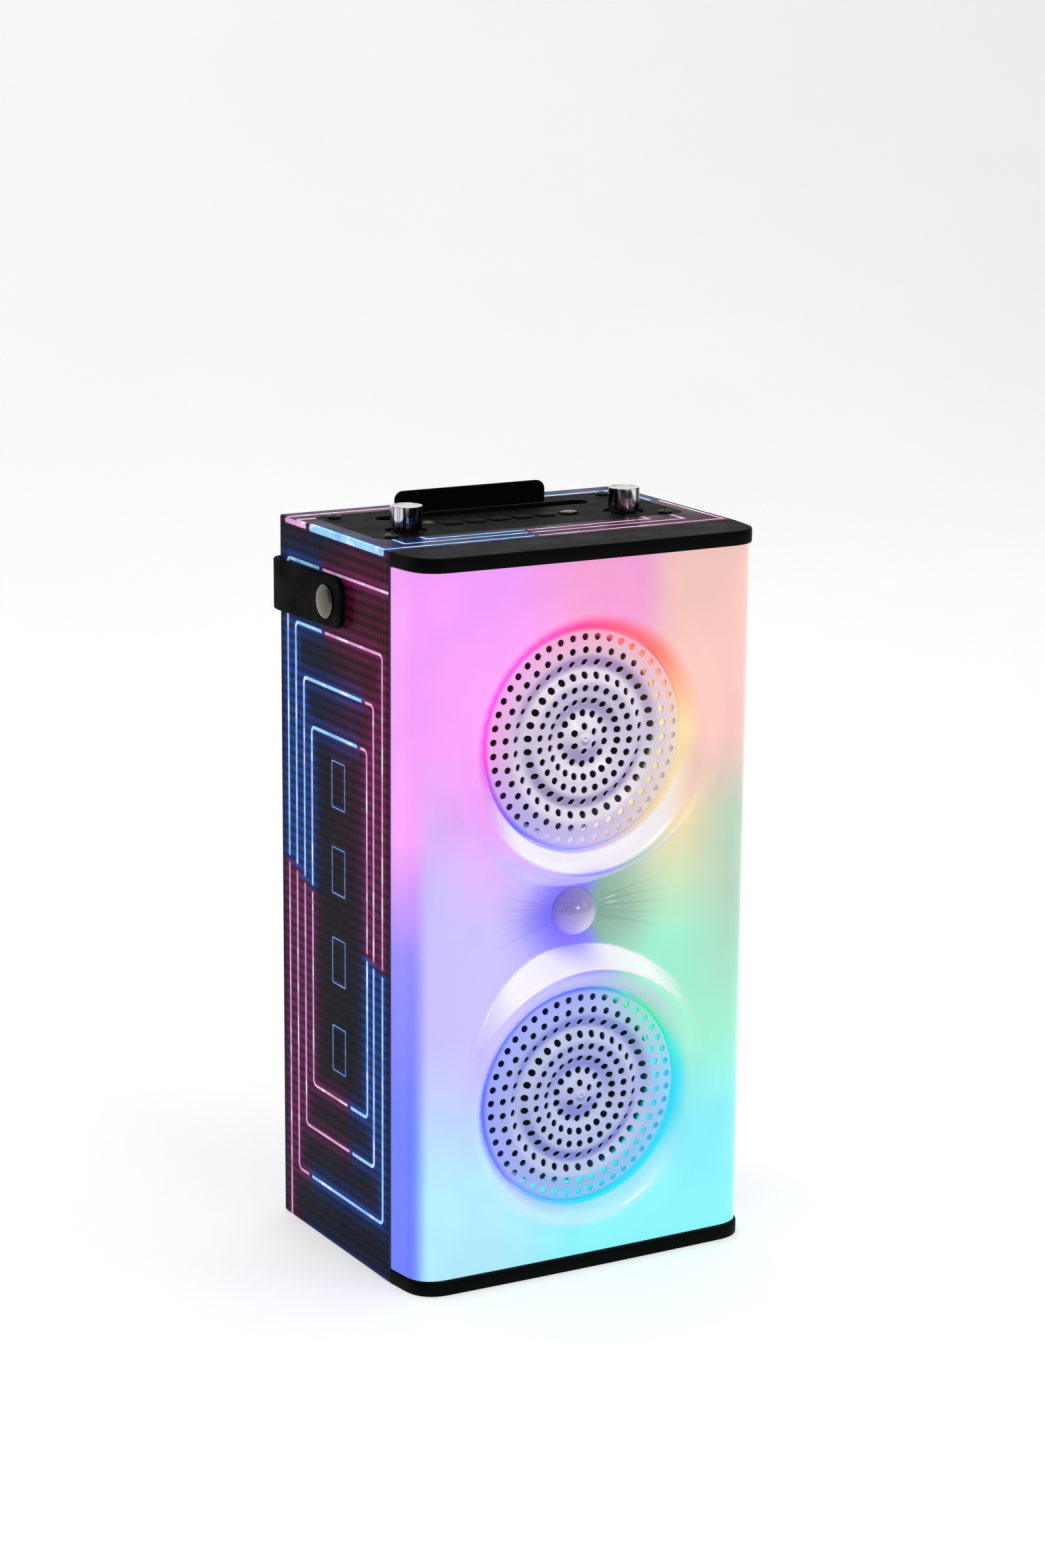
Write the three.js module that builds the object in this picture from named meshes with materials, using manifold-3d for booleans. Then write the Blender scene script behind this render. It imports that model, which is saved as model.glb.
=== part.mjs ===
// Party speaker: a tall board cabinet with a lit, translucent front module, two driver covers round a
// light dome, a control panel with a device slot on top, and a strap handle that swings on two rivets.
//
// Millimetres, +Z up, the front faces -Y and the base stands on z = 0. Inside the `speaker` group,
// x = 0 is the middle of the width and y = 0 is the front edge of the cabinet's boards.
import * as THREE from 'three';
import { mergeVertices } from 'three/addons/utils/BufferGeometryUtils.js';
import Module from 'manifold-3d';

// ---- driving dimensions --------------------------------------------------------------------------
const WIDTH = 195;
const DEPTH = 116.8;
const HEIGHT = 368.5;
const BOARD = 6;
const GAP = 0.3;

// front module: two caps with the translucent front shell between them
const MODULE_BACK = -0.8;
const CAP_FRONT = -30;
const CAP_THICKNESS = 7.3;
const SHELL_FRONT_INSET = 2;
const SHELL_SIDE_INSET = 0.7;
const SHELL_WALL = 2;

// drivers and their covers
const COVER_Z = [270.9, 88.3];
const COVER_RADIUS = 55.3;
const COVER_Y = -18.4;
const COVER_WAVE = 2.2;
const COVER_WAVELENGTH = 23.5;
const COVER_THICKNESS = 1.6;
const SLEEVE_RADIUS = COVER_RADIUS + 0.6;
const SLEEVE_WALL = 1.9;
const DISH_RADIUS = 66;
const DRIVER_FLANGE_RADIUS = 51;
const DRIVER_CUTOUT_RADIUS = 46.5;
const MAGNET_RADIUS = 30;
const MAGNET_Y = [36, 52];

// light dome between the covers
const DOME_Z = 181.7;
const DOME_RADIUS = 12.3;
const DOME_WALL = 1.3;
const DOME_PLANE = -9;
const DOME_FLANGE_RADIUS = 14.5;
const POCKET_FLOOR = -11.2;
const POCKET_RADIUS = 16;

// control panel in the cabinet's top
const PANEL_HALF_X = 86.9;
const PANEL_Y = [28.5, 101.5];
const PANEL_CORNER = 6;
const PANEL_TOP = HEIGHT - 0.3;
const PANEL_THICKNESS = 3;
const PANEL_LEDGE = 8;
const SLOT_HALF_X = 60.5;
const SLOT_Y = [77.5, 88];
const SLOT_DEPTH = 18;
const REST_X = [-46.9, 39];
const REST_THICKNESS = 2.2;
const REST_TOP = 380;
const REST_CORNER = 4.6;
const SCREW_X = 77.7;
const SCREW_Y = [34.2, 95.8];

// knobs on their potentiometers
const KNOB_X = 62;
const KNOB_Y = 48.6;
const KNOB_RADIUS = 7.9;
const KNOB_Z = [HEIGHT + 0.8, HEIGHT + 12];
const WELL_RADIUS = 10.3;
const WELL_DEPTH = 1.2;
const SHAFT_RADIUS = 3;
const BUSHING_RADIUS = 3.5;

// push buttons and the socket beside them
const BUTTON_COUNT = 6;
const BUTTON_PITCH = 13.35;
const BUTTON_Y = 54.7;
const BUTTON_SIZE = [10.1, 8.4];
const BUTTON_CORNER = 3;
const BUTTON_TOP = PANEL_TOP + 1.05;
const BUTTON_TRAVEL = 0.8;
const SOCKET_X = -42;
const SOCKET_Y = 63.5;
const SOCKET_RADIUS = 3.6;
const SOCKET_BORE = 1.75;

// strap handle
const STRAP_Z = 334.6;
const STRAP_WIDTH = 26;
const STRAP_THICKNESS = 3;
const STRAP_STANDOFF = 1.1;
const STRAP_END_Y = 41.5;
const STRAP_BEND_Y = 110;
const STRAP_END_CORNER = 9;
const STRAP_BOW = 141.5;
const RIVET_Y = DEPTH / 2;
const RIVET_RADIUS = 8.4;
const RIVET_HEAD = 2.5;

// the model's origin is the middle of its outer box, at the base
const MIDDLE_Y = (CAP_FRONT + STRAP_BOW) / 2;

// ---- solids --------------------------------------------------------------------------------------
const wasm = await Module();
wasm.setup();

// A closed three.js geometry as a manifold solid, with its faces turned outwards.
function solid(geometry) {
  const bare = geometry.clone();
  bare.deleteAttribute('normal');
  bare.deleteAttribute('uv');
  const merged = mergeVertices(bare, 1e-4);
  const vertices = merged.attributes.position.array;
  const corners = merged.index.array;
  const kept = [];
  let volume = 0;
  const a = new THREE.Vector3();
  const b = new THREE.Vector3();
  const c = new THREE.Vector3();
  for (let i = 0; i < corners.length; i += 3) {
    const [p, q, r] = [corners[i], corners[i + 1], corners[i + 2]];
    if (p === q || q === r || r === p) continue;
    kept.push(p, q, r);
    a.fromArray(vertices, 3 * p);
    b.fromArray(vertices, 3 * q);
    c.fromArray(vertices, 3 * r);
    volume += a.dot(b.cross(c));
  }
  if (volume < 0) kept.reverse();
  return new wasm.Manifold(
    new wasm.Mesh({
      numProp: 3,
      vertProperties: new Float32Array(vertices),
      triVerts: new Uint32Array(kept),
    }),
  );
}

function block(x, y, z) {
  const box = new THREE.BoxGeometry(x[1] - x[0], y[1] - y[0], z[1] - z[0]);
  return solid(box.translate((x[0] + x[1]) / 2, (y[0] + y[1]) / 2, (z[0] + z[1]) / 2));
}

// A flat outline in x and y, extruded up from z[0] to z[1].
function slab(shape, z, curveSegments = 8) {
  const options = { depth: z[1] - z[0], bevelEnabled: false, curveSegments };
  return solid(new THREE.ExtrudeGeometry(shape, options).translate(0, 0, z[0]));
}

// A profile of [radius, height] points turned about an upright axis at (x, y).
function turned(profile, x = 0, y = 0, segments = 24) {
  const points = profile.map(([radius, height]) => new THREE.Vector2(radius, height));
  const lathe = new THREE.LatheGeometry(points, segments);
  return solid(lathe.rotateX(Math.PI / 2).translate(x, y, 0));
}

// A profile of [radius, y] points turned about a front-to-back axis at (x, z).
function turnedFront(profile, x, z, segments = 28) {
  const points = profile.map(([radius, y]) => new THREE.Vector2(radius, y));
  return solid(new THREE.LatheGeometry(points, segments).translate(x, 0, z));
}

function upright(radius, z, x, y, segments = 24) {
  return turned([[0, z[0]], [radius, z[0]], [radius, z[1]], [0, z[1]]], x, y, segments);
}

function frontal(radius, y, x, z, segments = 28) {
  return turnedFront([[0, y[0]], [radius, y[0]], [radius, y[1]], [0, y[1]]], x, z, segments);
}

// A round bar across the width, from x[0] to x[1].
function across(radius, x, y, z, segments = 16) {
  const bar = new THREE.CylinderGeometry(radius, radius, x[1] - x[0], segments);
  return solid(bar.rotateZ(Math.PI / 2).translate((x[0] + x[1]) / 2, y, z));
}

function roundedRect(x, y, radius) {
  const shape = new THREE.Shape();
  shape.moveTo(x[0] + radius, y[0]);
  shape.lineTo(x[1] - radius, y[0]);
  shape.absarc(x[1] - radius, y[0] + radius, radius, -Math.PI / 2, 0, false);
  shape.lineTo(x[1], y[1] - radius);
  shape.absarc(x[1] - radius, y[1] - radius, radius, 0, Math.PI / 2, false);
  shape.lineTo(x[0] + radius, y[1]);
  shape.absarc(x[0] + radius, y[1] - radius, radius, Math.PI / 2, Math.PI, false);
  shape.lineTo(x[0], y[0] + radius);
  shape.absarc(x[0] + radius, y[0] + radius, radius, Math.PI, 1.5 * Math.PI, false);
  return shape;
}

function spread([middleX, middleY], [sizeX, sizeY], grow = 0) {
  const x = [middleX - sizeX / 2 - grow, middleX + sizeX / 2 + grow];
  const y = [middleY - sizeY / 2 - grow, middleY + sizeY / 2 + grow];
  return [x, y];
}

// ---- scene graph ---------------------------------------------------------------------------------
const root = new THREE.Group();
const speaker = new THREE.Group();
speaker.position.y = -MIDDLE_Y;
root.add(speaker);

function finish(color, roughness, metalness = 0) {
  return new THREE.MeshStandardMaterial({ color, roughness, metalness });
}

const WRAP = finish(0x1c1e2a, 0.25);
const BLACK_PLASTIC = finish(0x1b1b1c, 0.55);
const DIFFUSER_PLASTIC = finish(0xe7d7f5, 0.25);
const COVER_PLASTIC = finish(0xcfc2d8, 0.35);
const DOME_PLASTIC = finish(0xb9b2cf, 0.2);
const BARE_BOARD = finish(0x6e5a41, 0.8);
const CIRCUIT_BOARD = finish(0x1f5a34, 0.5);
const CHROME = finish(0xd8d8dc, 0.08, 1);
const SATIN_METAL = finish(0xb4b0a8, 0.3, 1);
const STEEL = finish(0x8a8d90, 0.4, 1);
const PAPER = finish(0x24242a, 0.9);
const STRAP_LEATHER = finish(0x20201f, 0.6);
const CELL_WRAP = finish(0x2c5aa8, 0.45);

function add(name, shape, material) {
  const { vertProperties, triVerts } = shape.getMesh();
  const geometry = new THREE.BufferGeometry();
  geometry.setAttribute('position', new THREE.BufferAttribute(new Float32Array(vertProperties), 3));
  geometry.setIndex(new THREE.BufferAttribute(new Uint32Array(triVerts), 1));
  geometry.computeVertexNormals();
  const mesh = new THREE.Mesh(geometry, material);
  mesh.name = name;
  speaker.add(mesh);
}

// ---- cabinet boards ------------------------------------------------------------------------------
const INNER_X = WIDTH / 2 - BOARD - GAP;
const ACROSS = [-INNER_X, INNER_X];
const BETWEEN_TOP_AND_BASE = [BOARD + GAP, HEIGHT - BOARD - GAP];
const BAFFLE_Y = [GAP, 8.3];
const RIVET_HOLE_RADIUS = 2.8;

function sideBoard(side) {
  const x = [side * (WIDTH / 2 - BOARD), side * (WIDTH / 2)].sort((p, q) => p - q);
  const hole = across(RIVET_HOLE_RADIUS, [x[0] - 1, x[1] + 1], RIVET_Y, STRAP_Z);
  return block(x, [0, DEPTH], [0, HEIGHT]).subtract(hole);
}

function screwPlaces() {
  return SCREW_Y.flatMap((y) => [[-SCREW_X, y], [SCREW_X, y]]);
}

function topBoard() {
  let board = block(ACROSS, [0, DEPTH], [HEIGHT - BOARD, HEIGHT]);
  const fit = [[-PANEL_HALF_X - GAP, PANEL_HALF_X + GAP], [PANEL_Y[0] - GAP, PANEL_Y[1] + GAP]];
  const rebateFloor = PANEL_TOP - PANEL_THICKNESS - GAP;
  board = board.subtract(slab(roundedRect(...fit, PANEL_CORNER + GAP), [rebateFloor, HEIGHT + 1]));
  const openX = [-PANEL_HALF_X + 2 * PANEL_LEDGE, PANEL_HALF_X - 2 * PANEL_LEDGE];
  const openY = [PANEL_Y[0] + PANEL_LEDGE, PANEL_Y[1] - PANEL_LEDGE];
  board = board.subtract(block(openX, openY, [HEIGHT - BOARD - 1, HEIGHT]));
  for (const [x, y] of screwPlaces()) {
    board = board.subtract(upright(1.7, [HEIGHT - BOARD - 1, HEIGHT], x, y, 12));
  }
  return board;
}

function baffle() {
  let board = block(ACROSS, BAFFLE_Y, BETWEEN_TOP_AND_BASE);
  for (const z of COVER_Z) {
    board = board.subtract(frontal(DRIVER_CUTOUT_RADIUS, [-1, 10], 0, z));
  }
  return board.subtract(frontal(5, [-1, 10], 0, DOME_Z, 24));
}

const CHARGE_PORT_Z = 60;
const BACK_Y = [DEPTH - BOARD, DEPTH];

function backBoard() {
  const hole = block([-6.5, 6.5], [BACK_Y[0] - 1, BACK_Y[1] + 1], [CHARGE_PORT_Z - 4, CHARGE_PORT_Z + 4]);
  return block(ACROSS, BACK_Y, BETWEEN_TOP_AND_BASE).subtract(hole);
}

add('side_board_left', sideBoard(-1), WRAP);
add('side_board_right', sideBoard(1), WRAP);
add('top_board', topBoard(), WRAP);
add('base_board', block(ACROSS, [0, DEPTH], [0, BOARD]), WRAP);
add('back_board', backBoard(), WRAP);
add('baffle_board', baffle(), BARE_BOARD);

// ---- front module --------------------------------------------------------------------------------
// Plan of the module: sides that taper a little, rounded corners and a slightly bowed front.
function moduleOutline(sideInset, frontInset) {
  const back = WIDTH / 2 - 0.3 - sideInset;
  const waist = WIDTH / 2 - 1.6 - sideInset;
  const front = CAP_FRONT + frontInset;
  const shape = new THREE.Shape();
  shape.moveTo(-back, MODULE_BACK);
  shape.lineTo(-waist, -13);
  shape.quadraticCurveTo(-waist + 1.3, front + 1.8, -80, front + 0.8);
  shape.quadraticCurveTo(0, front - 0.8, 80, front + 0.8);
  shape.quadraticCurveTo(waist - 1.3, front + 1.8, waist, -13);
  shape.lineTo(back, MODULE_BACK);
  return shape;
}

const SHELL_Z = [CAP_THICKNESS + GAP, HEIGHT - CAP_THICKNESS - GAP];

// The hollows in the shell's front face. grow adds the wall that lines them from behind.
function shellHollows(grow) {
  const face = CAP_FRONT + SHELL_FRONT_INSET;
  const beyond = CAP_FRONT - 5;
  const hollows = COVER_Z.map((z) => {
    const dish = [
      [0, beyond],
      [DISH_RADIUS + 4 + grow, beyond],
      [DISH_RADIUS + grow, face],
      [SLEEVE_RADIUS + grow, COVER_Y - 2 + grow],
      [SLEEVE_RADIUS + grow, MODULE_BACK + 5],
      [0, MODULE_BACK + 5],
    ];
    return turnedFront(dish, 0, z, 36);
  });
  const pocket = [
    [0, beyond],
    [POCKET_RADIUS + 10 + grow, beyond],
    [POCKET_RADIUS + 6 + grow, face],
    [POCKET_RADIUS + grow, POCKET_FLOOR + grow],
    [0, POCKET_FLOOR + grow],
  ];
  hollows.push(turnedFront(pocket, 0, DOME_Z, 24));
  return hollows;
}

function frontShell() {
  let outside = slab(moduleOutline(SHELL_SIDE_INSET, SHELL_FRONT_INSET), SHELL_Z, 6);
  const insideInsets = [SHELL_SIDE_INSET + SHELL_WALL, SHELL_FRONT_INSET + SHELL_WALL];
  const insideZ = [SHELL_Z[0] + SHELL_WALL, SHELL_Z[1] - SHELL_WALL];
  const openBackX = [-WIDTH / 2 + 4.5, WIDTH / 2 - 4.5];
  let inside = slab(moduleOutline(...insideInsets), insideZ, 6);
  inside = inside.add(block(openBackX, [MODULE_BACK - 1, 5], insideZ));
  for (const hollow of shellHollows(0)) outside = outside.subtract(hollow);
  for (const lining of shellHollows(SLEEVE_WALL)) inside = inside.subtract(lining);
  const domeHole = frontal(DOME_RADIUS + 0.4, [POCKET_FLOOR - 5, MODULE_BACK], 0, DOME_Z, 24);
  return outside.subtract(inside).subtract(domeHole);
}

// A driver cover: a disc pressed into round waves, with a skirt that slides into the shell's sleeve.
function driverCover(z) {
  const wave = (r) => COVER_Y - COVER_WAVE * Math.cos((2 * Math.PI * r) / COVER_WAVELENGTH);
  const steps = 9;
  const rim = COVER_RADIUS - 1.5;
  const front = [];
  for (let i = 0; i <= steps; i += 1) {
    const r = (rim * i) / steps;
    front.push([r, wave(r)]);
  }
  const back = front.map(([r, y]) => [r, y + COVER_THICKNESS]).reverse();
  const skirt = [[COVER_RADIUS, wave(rim) + 0.8], [COVER_RADIUS, -4.6], [rim, -4.6]];
  return turnedFront([...front, ...skirt, ...back], 0, z);
}

function domeLens() {
  const points = [];
  const steps = 5;
  for (let i = 0; i <= steps; i += 1) {
    const angle = (Math.PI / 2) * (i / steps);
    points.push([DOME_RADIUS * Math.sin(angle), DOME_PLANE - DOME_RADIUS * Math.cos(angle)]);
  }
  points.push([DOME_FLANGE_RADIUS, DOME_PLANE], [DOME_FLANGE_RADIUS, DOME_PLANE + 1.5]);
  const inner = DOME_RADIUS - DOME_WALL;
  points.push([inner, DOME_PLANE + 1.5]);
  for (let i = steps; i >= 0; i -= 1) {
    const angle = (Math.PI / 2) * (i / steps);
    points.push([inner * Math.sin(angle), DOME_PLANE - inner * Math.cos(angle)]);
  }
  return turnedFront(points, 0, DOME_Z, 20);
}

function domeLamp() {
  const board = frontal(13.5, [DOME_PLANE + 1.9, DOME_PLANE + 3.5], 0, DOME_Z, 20);
  const led = frontal(4, [DOME_PLANE - 3, DOME_PLANE + 2.5], 0, DOME_Z, 16);
  return board.add(led);
}

function lightBoard() {
  let board = block([-92.5, 92.5], [-2.4, MODULE_BACK], [12, HEIGHT - 12]);
  const clearance = SLEEVE_RADIUS + SLEEVE_WALL + 1;
  for (const z of COVER_Z) board = board.subtract(frontal(clearance, [-5, 5], 0, z));
  return board.subtract(frontal(5, [-5, 5], 0, DOME_Z, 24));
}

add('cap_base', slab(moduleOutline(0, 0), [0, CAP_THICKNESS], 6), BLACK_PLASTIC);
add('cap_top', slab(moduleOutline(0, 0), [HEIGHT - CAP_THICKNESS, HEIGHT], 6), BLACK_PLASTIC);
add('front_shell', frontShell(), DIFFUSER_PLASTIC);
add('light_board', lightBoard(), CIRCUIT_BOARD);
add('dome_lens', domeLens(), DOME_PLASTIC);
add('dome_lamp', domeLamp(), CIRCUIT_BOARD);

// ---- drivers -------------------------------------------------------------------------------------
function basket(z) {
  const profile = [
    [43.5, -3.2],
    [DRIVER_FLANGE_RADIUS, -3.2],
    [DRIVER_FLANGE_RADIUS, 0],
    [DRIVER_CUTOUT_RADIUS - 0.8, 0],
    [DRIVER_CUTOUT_RADIUS - 0.8, 12],
    [25, MAGNET_Y[0] - GAP],
    [0, MAGNET_Y[0] - GAP],
    [0, MAGNET_Y[0] - 2],
    [24, MAGNET_Y[0] - 2],
    [43.5, 11],
    [43.5, -3.2],
  ];
  return turnedFront(profile, 0, z);
}

// Paper cone in one piece with its rolled surround, dust cap and voice coil former.
function cone(z) {
  const profile = [
    [0, 9],
    [11, 13.5],
    [32, 0.5],
    [38, -2.8],
    [43.1, -1.6],
    [43.1, -0.4],
    [38, -1.2],
    [32, 2.1],
    [13.5, 15],
    [13.5, MAGNET_Y[0] - 5],
    [12, MAGNET_Y[0] - 5],
    [11.6, 15],
    [0, 10.6],
  ];
  return turnedFront(profile, 0, z);
}

COVER_Z.forEach((z, i) => {
  const place = ['upper', 'lower'][i];
  add(`driver_cover_${place}`, driverCover(z), COVER_PLASTIC);
  add(`driver_cone_${place}`, cone(z), PAPER);
  add(`driver_basket_${place}`, basket(z), STEEL);
  add(`driver_magnet_${place}`, frontal(MAGNET_RADIUS, MAGNET_Y, 0, z), STEEL);
});

// ---- control panel -------------------------------------------------------------------------------
const PANEL_UNDERSIDE = PANEL_TOP - PANEL_THICKNESS;
const PANEL_CUT = [PANEL_UNDERSIDE - 1, HEIGHT + 1];
const SLOT_RADIUS = (SLOT_Y[1] - SLOT_Y[0]) / 2;
const KEY_BOARD_TOP = PANEL_TOP - 9;
const SWITCH_HEIGHT = 2;
const MAIN_BOARD_Z = [HEIGHT - 32, HEIGHT - 30.4];

function buttonX(i) {
  return (i - (BUTTON_COUNT - 1) / 2) * BUTTON_PITCH;
}

// The slot's outline, a straight run with round ends, grown outwards by a margin.
function slotOutline(margin) {
  const x = [-SLOT_HALF_X - margin, SLOT_HALF_X + margin];
  const y = [SLOT_Y[0] - margin, SLOT_Y[1] + margin];
  return roundedRect(x, y, SLOT_RADIUS + margin - 0.01);
}

function controlPanel() {
  let panel = slab(
    roundedRect([-PANEL_HALF_X, PANEL_HALF_X], PANEL_Y, PANEL_CORNER),
    [PANEL_UNDERSIDE, PANEL_TOP],
  );
  panel = panel.subtract(slab(slotOutline(0), PANEL_CUT));
  for (let i = 0; i < BUTTON_COUNT; i += 1) {
    const window = roundedRect(...spread([buttonX(i), BUTTON_Y], BUTTON_SIZE, GAP), BUTTON_CORNER + GAP);
    panel = panel.subtract(slab(window, PANEL_CUT, 3));
  }
  for (const side of [-1, 1]) {
    const x = side * KNOB_X;
    panel = panel.subtract(upright(WELL_RADIUS, [PANEL_TOP - WELL_DEPTH, HEIGHT + 1], x, KNOB_Y));
    panel = panel.subtract(upright(BUSHING_RADIUS + 0.2, PANEL_CUT, x, KNOB_Y, 24));
  }
  for (const [x, y] of screwPlaces()) {
    panel = panel.subtract(upright(1.7, PANEL_CUT, x, y, 12));
  }
  return panel.subtract(upright(SOCKET_RADIUS + GAP, PANEL_CUT, SOCKET_X, SOCKET_Y, 24));
}

function slotTray() {
  const wall = 2;
  const z = [PANEL_TOP - SLOT_DEPTH - wall, PANEL_UNDERSIDE - GAP];
  const hollow = slab(slotOutline(0), [PANEL_TOP - SLOT_DEPTH, HEIGHT]);
  return slab(slotOutline(wall), z).subtract(hollow);
}

// The upright plate that a phone or tablet leans on, drawn in x and z and set at the slot's back edge.
function deviceRest() {
  const z = [PANEL_TOP + GAP, REST_TOP];
  const shape = new THREE.Shape();
  shape.moveTo(REST_X[0], z[0]);
  shape.lineTo(REST_X[1], z[0]);
  shape.lineTo(REST_X[1], z[1] - REST_CORNER);
  shape.absarc(REST_X[1] - REST_CORNER, z[1] - REST_CORNER, REST_CORNER, 0, Math.PI / 2, false);
  shape.lineTo(REST_X[0] + REST_CORNER, z[1]);
  shape.absarc(REST_X[0] + REST_CORNER, z[1] - REST_CORNER, REST_CORNER, Math.PI / 2, Math.PI, false);
  const options = { depth: REST_THICKNESS, bevelEnabled: false, curveSegments: 8 };
  const plate = new THREE.ExtrudeGeometry(shape, options).rotateX(Math.PI / 2);
  return solid(plate.translate(0, SLOT_Y[1] + GAP + REST_THICKNESS, 0));
}

function screw(x, y) {
  const under = PANEL_TOP + 0.1;
  const tip = HEIGHT - BOARD - 4;
  const profile = [
    [0, tip],
    [0.6, tip],
    [1.4, tip + 2],
    [1.4, under],
    [3.5, under],
    [3.5, under + 0.7],
    [2.4, under + 1.5],
    [0, under + 1.7],
  ];
  const slotA = block([x - 2, x + 2], [y - 0.35, y + 0.35], [under + 0.7, under + 3]);
  const slotB = block([x - 0.35, x + 0.35], [y - 2, y + 2], [under + 0.7, under + 3]);
  return turned(profile, x, y, 12).subtract(slotA).subtract(slotB);
}

add('control_panel', controlPanel(), BLACK_PLASTIC);
add('slot_tray', slotTray(), BLACK_PLASTIC);
add('device_rest', deviceRest(), BLACK_PLASTIC);
screwPlaces().forEach(([x, y], i) => {
  add(`panel_screw_${i + 1}`, screw(x, y), STEEL);
});

// ---- knobs and potentiometers --------------------------------------------------------------------
function knobCap(x) {
  const [low, high] = KNOB_Z;
  const profile = [
    [SHAFT_RADIUS + 0.02, low],
    [KNOB_RADIUS - 0.4, low],
    [KNOB_RADIUS, low + 0.4],
    [KNOB_RADIUS, high - 0.7],
    [KNOB_RADIUS - 0.7, high],
    [KNOB_RADIUS - 1.3, high],
    [KNOB_RADIUS - 1.8, high - 0.6],
    [0, high - 0.9],
    [0, high - 2.5],
    [SHAFT_RADIUS + 0.02, high - 2.5],
    [SHAFT_RADIUS + 0.02, low],
  ];
  return turned(profile, x, KNOB_Y, 28);
}

function potentiometer(x) {
  const shelf = PANEL_UNDERSIDE - GAP;
  const can = block([x - 8, x + 8], [KNOB_Y - 8, KNOB_Y + 8], [shelf - 8, shelf]);
  const bushing = upright(BUSHING_RADIUS, [shelf - 1, PANEL_TOP + 0.4], x, KNOB_Y, 24);
  const bore = upright(SHAFT_RADIUS + 0.08, [shelf - 6, HEIGHT + 5], x, KNOB_Y, 24);
  return can.add(bushing).subtract(bore);
}

function lockNut(x) {
  const z = [PANEL_TOP - WELL_DEPTH + 0.1, PANEL_TOP + 0.3];
  const hexagon = upright(6.3, z, x, KNOB_Y, 6);
  return hexagon.subtract(upright(BUSHING_RADIUS + 0.15, [z[0] - 1, z[1] + 1], x, KNOB_Y, 24));
}

[['left', -KNOB_X], ['right', KNOB_X]].forEach(([side, x]) => {
  add(`knob_${side}`, knobCap(x), CHROME);
  const shaftZ = [PANEL_UNDERSIDE - GAP - 5.5, KNOB_Z[1] - 2.9];
  add(`knob_shaft_${side}`, upright(SHAFT_RADIUS - 0.02, shaftZ, x, KNOB_Y, 24), STEEL);
  add(`potentiometer_${side}`, potentiometer(x), STEEL);
  add(`lock_nut_${side}`, lockNut(x), BLACK_PLASTIC);
});

// ---- buttons, boards and sockets -----------------------------------------------------------------
function button(i) {
  const place = [buttonX(i), BUTTON_Y];
  const capZ = [PANEL_UNDERSIDE - 2, BUTTON_TOP];
  const retainerZ = [PANEL_UNDERSIDE - 1.6, PANEL_UNDERSIDE - GAP];
  const stemZ = [KEY_BOARD_TOP + SWITCH_HEIGHT + 0.2 + BUTTON_TRAVEL, PANEL_UNDERSIDE - 1];
  const cap = slab(roundedRect(...spread(place, BUTTON_SIZE), BUTTON_CORNER), capZ, 3);
  const retainer = block(...spread(place, BUTTON_SIZE, 0.9), retainerZ);
  return cap.add(retainer).add(upright(1.5, stemZ, ...place, 8));
}

function keyBoard() {
  let board = block([-42, 42], [BUTTON_Y - 7, BUTTON_Y + 5.5], [KEY_BOARD_TOP - 1.6, KEY_BOARD_TOP]);
  for (let i = 0; i < BUTTON_COUNT; i += 1) {
    const [x, y] = spread([buttonX(i), BUTTON_Y], [6, 6]);
    board = board.add(block(x, y, [KEY_BOARD_TOP - 0.5, KEY_BOARD_TOP + SWITCH_HEIGHT]));
  }
  return board;
}

function socketCollar() {
  const profile = [
    [SOCKET_BORE, PANEL_UNDERSIDE - 1],
    [SOCKET_RADIUS, PANEL_UNDERSIDE - 1],
    [SOCKET_RADIUS, PANEL_TOP + 0.3],
    [SOCKET_BORE + 0.4, PANEL_TOP + 0.3],
    [SOCKET_BORE, PANEL_TOP - 0.1],
    [SOCKET_BORE, PANEL_UNDERSIDE - 1],
  ];
  return turned(profile, SOCKET_X, SOCKET_Y, 24);
}

function mainBoard() {
  let board = block([-72, 72], [33, 74], MAIN_BOARD_Z);
  const high = MAIN_BOARD_Z[1] - 0.5;
  board = board.add(block([-14, 14], [44, 60], [high, high + 6]));
  for (const x of [-50, -36, 36, 50]) {
    board = board.add(upright(5, [high, high + 9], x, 64, 16));
  }
  return board;
}

// Two round cells side by side in one sleeve.
function batteryPack() {
  const cell = 9.2;
  const shape = roundedRect([-2 * cell, 2 * cell], [BOARD + 1, BOARD + 1 + 2 * cell], cell - 0.01);
  const options = { depth: 66, bevelEnabled: false, curveSegments: 8 };
  const sleeve = new THREE.ExtrudeGeometry(shape, options);
  return solid(sleeve.rotateX(Math.PI / 2).translate(0, 98, 0));
}

function chargePort() {
  const flange = block([-8, 8], [DEPTH, DEPTH + 1.5], [CHARGE_PORT_Z - 5.5, CHARGE_PORT_Z + 5.5]);
  const body = block([-6.2, 6.2], [DEPTH - 12, DEPTH + 1], [CHARGE_PORT_Z - 3.7, CHARGE_PORT_Z + 3.7]);
  const mouth = block([-4.6, 4.6], [DEPTH - 9, DEPTH + 3], [CHARGE_PORT_Z - 1.7, CHARGE_PORT_Z + 1.7]);
  return flange.translate(0, GAP, 0).add(body).subtract(mouth);
}

for (let i = 0; i < BUTTON_COUNT; i += 1) {
  const material = i === BUTTON_COUNT - 1 ? SATIN_METAL : BLACK_PLASTIC;
  add(`button_${i + 1}`, button(i), material);
}
add('key_board', keyBoard(), CIRCUIT_BOARD);
add('audio_socket', socketCollar(), SATIN_METAL);
add('main_board', mainBoard(), CIRCUIT_BOARD);
add('battery_pack', batteryPack(), CELL_WRAP);
add('charge_port', chargePort(), BLACK_PLASTIC);

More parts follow.
